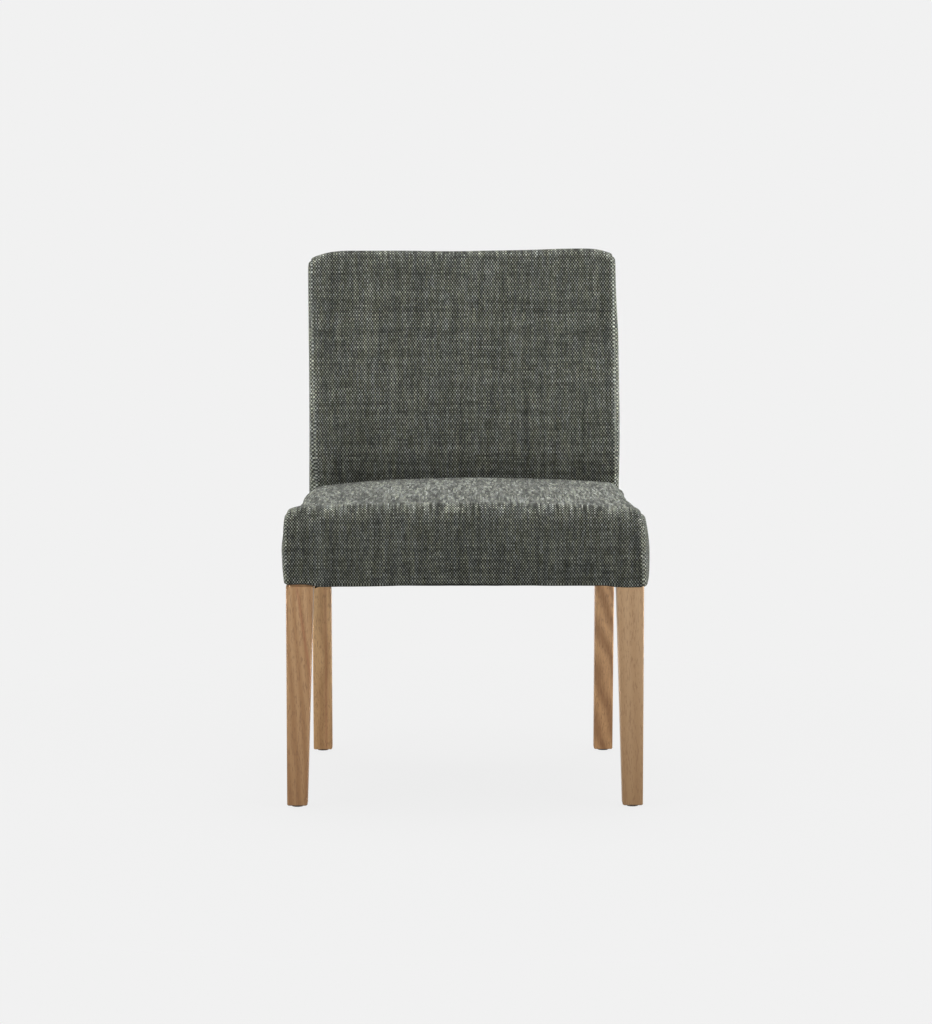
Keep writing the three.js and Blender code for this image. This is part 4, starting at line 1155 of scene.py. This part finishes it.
def jute():
    """Plain-woven jute of the webbing and the platform cloth."""
    g = Graph("jute_weave")
    x, y, z = g.split(g.object_place())
    s = g.floor(g.math("DIVIDE", x, JUTE_PITCH))
    t = g.floor(g.math("DIVIDE", g.plus(y, z), JUTE_PITCH))
    over = g.math("PINGPONG", g.plus(s, t), 1)
    tone = g.plus(g.times(over, 0.25), g.times(g.dice(s, t), 0.5))
    return g.finish(g.mix(tone, *JUTE_TONES), 0.95, g.bump(tone, distance=0.0006, strength=0.8))


def speckled(name, tones, scale, roughness, distance, metal=0.0):
    """A material of two tones of noise with a matching bump."""
    g = Graph(name)
    spots = g.noise(g.object_place(), (scale,) * 3, 4, 0.6)
    rough = g.ramp(spots, *NOISE_MIDDLE, roughness - ROUGHNESS_SPREAD, roughness + ROUGHNESS_SPREAD)
    colour = g.mix(g.ramp(spots, *NOISE_MIDDLE), *tones)
    return g.finish(colour, rough, g.bump(spots, distance, strength=0.6), Metallic=metal)


def dress():
    """Gives every node and piece its material."""
    front_y, rear_y = FRONT + LEG_SIZE / 2, FRONT + POST_FRONT + POST_DEPTH / 2
    front_x, rear_x = FRONT_HALF - LEG_SIZE / 2, (POST_INNER + POST_HIGH.x) / 2
    legs = {
        "front_leg_left": oak("oak_front_left", (-front_x, front_y, HEM), **FRONT_LEFT_OAK),
        "front_leg_right": oak("oak_front_right", (front_x, front_y, HEM), **FRONT_RIGHT_OAK),
        "rear_post_left": oak("oak_rear_left", (-rear_x, rear_y, HEM), **REAR_LEFT_OAK_WITH_PAINTED_LIGHT),
        "rear_post_right": oak("oak_rear_right", (rear_x, rear_y, HEM), **REAR_RIGHT_OAK_WITH_PAINTED_LIGHT),
    }
    cloth, wood, web = upholstery_cloth(), bare_wood(), jute()
    steel = speckled("zinc_plate", ZINC_TONES, scale=900, roughness=0.35, distance=0.0002, metal=1.0)
    nylon = speckled("nylon", NYLON_TONES, scale=1200, roughness=0.5, distance=0.0002)
    foam = speckled("cut_foam", FOAM_TONES, scale=1500, roughness=0.9, distance=0.0006)
    black = speckled("black_non_woven", BLACK_TONES, scale=1400, roughness=0.9, distance=0.0004)
    families = {
        "block_screw": steel, "glide": nylon, "seat_foam": foam, "back_foam": foam, "dust": black,
        "seat_cover": cloth, "back_cover": cloth, "outside_back": cloth, "seat_upholstery": cloth,
        "back_upholstery": cloth, "seat_webbing": web, "back_webbing": web, "seat_platform": web,
    }
    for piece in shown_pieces() + list(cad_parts.values()):
        family = next((m for start, m in families.items() if piece.name.startswith(start)), wood)
        piece.data.materials.clear()
        piece.data.materials.append(legs.get(piece.name, family))


# Camera, fitted to the photograph
CAMERA_PLACE = (-0.036, FRONT - 5.2, 1.039)
CAMERA_PITCH = math.radians(6.25)
CAMERA_YAW = math.radians(0.412)
FOCAL_PIXELS = 3345
LONG_SIDE = 1024
SENSOR = 36

# Lights, each with its place, target, size, power in watts and spread in degrees
CHAIR_MIDDLE = (0, 0, 0.45)
BESIDE_BACK = (0, 0, 0.74)
LIGHTS = {
    "soft_top": ((0, 0.5, 3.2), CHAIR_MIDDLE, (2.6, 2.2), 114, 180),
    "soft_left": ((-2.4, -1.7, 1.2), CHAIR_MIDDLE, (1.6, 1.5), 40, 180),
    "soft_right": ((2.4, -1.7, 1.2), CHAIR_MIDDLE, (1.6, 1.5), 40, 180),
    "side_left": ((-2.6, 0.2, 0.8), BESIDE_BACK, (0.8, 0.5), 5.6, 28),
    "side_right": ((2.6, 0.2, 0.8), BESIDE_BACK, (0.8, 0.5), 8.4, 28),
}

# World and floor. The background's grey also shows on the floor, apart from a faint pool of light and shade.
BACKGROUND = 0.8796
WORLD_STRENGTH = 0.45
FLOOR_HALF = 30
FLOOR_DROP = 0.0002
FLOOR_TONE = 0.5
FLOOR_BOUNCE = 0.35
FLOOR_LIT_SHARE = 0.06
FLOOR_LIT_EDGES = (0.35, 1.3)


def add_camera():
    data = bpy.data.cameras.new("camera")
    data.sensor_width = SENSOR
    data.lens = FOCAL_PIXELS * SENSOR / LONG_SIDE
    camera = bpy.data.objects.new("camera", data)
    camera.location = CAMERA_PLACE
    camera.rotation_euler = (math.pi / 2 - CAMERA_PITCH, 0, -CAMERA_YAW)
    bpy.context.scene.collection.objects.link(camera)
    bpy.context.scene.camera = camera


def add_light(name, place, target, size, power, spread):
    data = bpy.data.lights.new(name, "AREA")
    data.shape = "RECTANGLE"
    data.size, data.size_y = size
    data.energy = power
    data.spread = math.radians(spread)
    light = bpy.data.objects.new(name, data)
    light.location = place
    away = Vector(place) - Vector(target)
    light.rotation_euler = away.to_track_quat("Z", "Y").to_euler()
    bpy.context.scene.collection.objects.link(light)


def seen_directly(tree):
    """1 for rays that show the background: from the camera, or off or through a surface."""
    rays = new_node(tree, "LightPath")
    total = rays.outputs["Is Camera Ray"]
    for name in ("Is Glossy Ray", "Is Transmission Ray"):
        total = new_node(tree, "Math", total, rays.outputs[name], operation="ADD", use_clamp=True).outputs[0]
    return total


def shader(tree, kind, tone, *strength):
    """The output of a shader of one grey."""
    return new_node(tree, kind, (tone, tone, tone, 1), *strength).outputs[0]


def blended(tree, factor, first, second):
    """A mix of two shaders: the first at 0, the second at 1."""
    return new_node(tree, "MixShader", factor, first, second).outputs[0]


def add_world():
    world = bpy.data.worlds.new("studio")
    bpy.context.scene.world = world
    world.use_nodes = True
    tree = world.node_tree
    tree.nodes.clear()
    shown = shader(tree, "Background", BACKGROUND)
    lit = shader(tree, "Background", 1, WORLD_STRENGTH)
    new_node(tree, "OutputWorld", blended(tree, seen_directly(tree), lit, shown))


def floor_paper():
    """The floor's material: the background's grey to the eye, paper to the light, and clear from below."""
    g = Graph("pale_floor")
    tree = g.tree
    tree.nodes.remove(g.shader)
    x, y, _ = g.split(g.object_place())
    distance = g.math("SQRT", g.plus(g.times(x, x), g.times(y, y)))
    share = g.ramp(distance, *FLOOR_LIT_EDGES, FLOOR_LIT_SHARE, 0.0)
    paper, bounce = (shader(tree, "BsdfDiffuse", tone) for tone in (FLOOR_TONE, FLOOR_BOUNCE))
    shown = blended(tree, share, shader(tree, "Emission", BACKGROUND), paper)
    above = blended(tree, seen_directly(tree), bounce, shown)
    below = new_node(tree, "BsdfTransparent").outputs[0]
    facing = new_node(tree, "NewGeometry").outputs["Backfacing"]
    feed(tree, blended(tree, facing, above, below), tree.nodes["Material Output"].inputs[0])
    return g.material


def add_floor():
    corners = [(x * FLOOR_HALF, y * FLOOR_HALF, 0) for x, y in ((-1, -1), (1, -1), (1, 1), (-1, 1))]
    mesh = bpy.data.meshes.new("floor")
    mesh.from_pydata(corners, [], [(0, 1, 2, 3)])
    mesh.materials.append(floor_paper())
    floor = bpy.data.objects.new("floor", mesh)
    floor.location.z = -FLOOR_DROP
    bpy.context.scene.collection.objects.link(floor)


build_seat()
build_back()
build_rear_panel()
build_dust_cover()
dress()
add_camera()
add_world()
for name, settings in LIGHTS.items():
    add_light(name, *settings)
add_floor()
bpy.context.scene.view_settings.view_transform = "Standard"
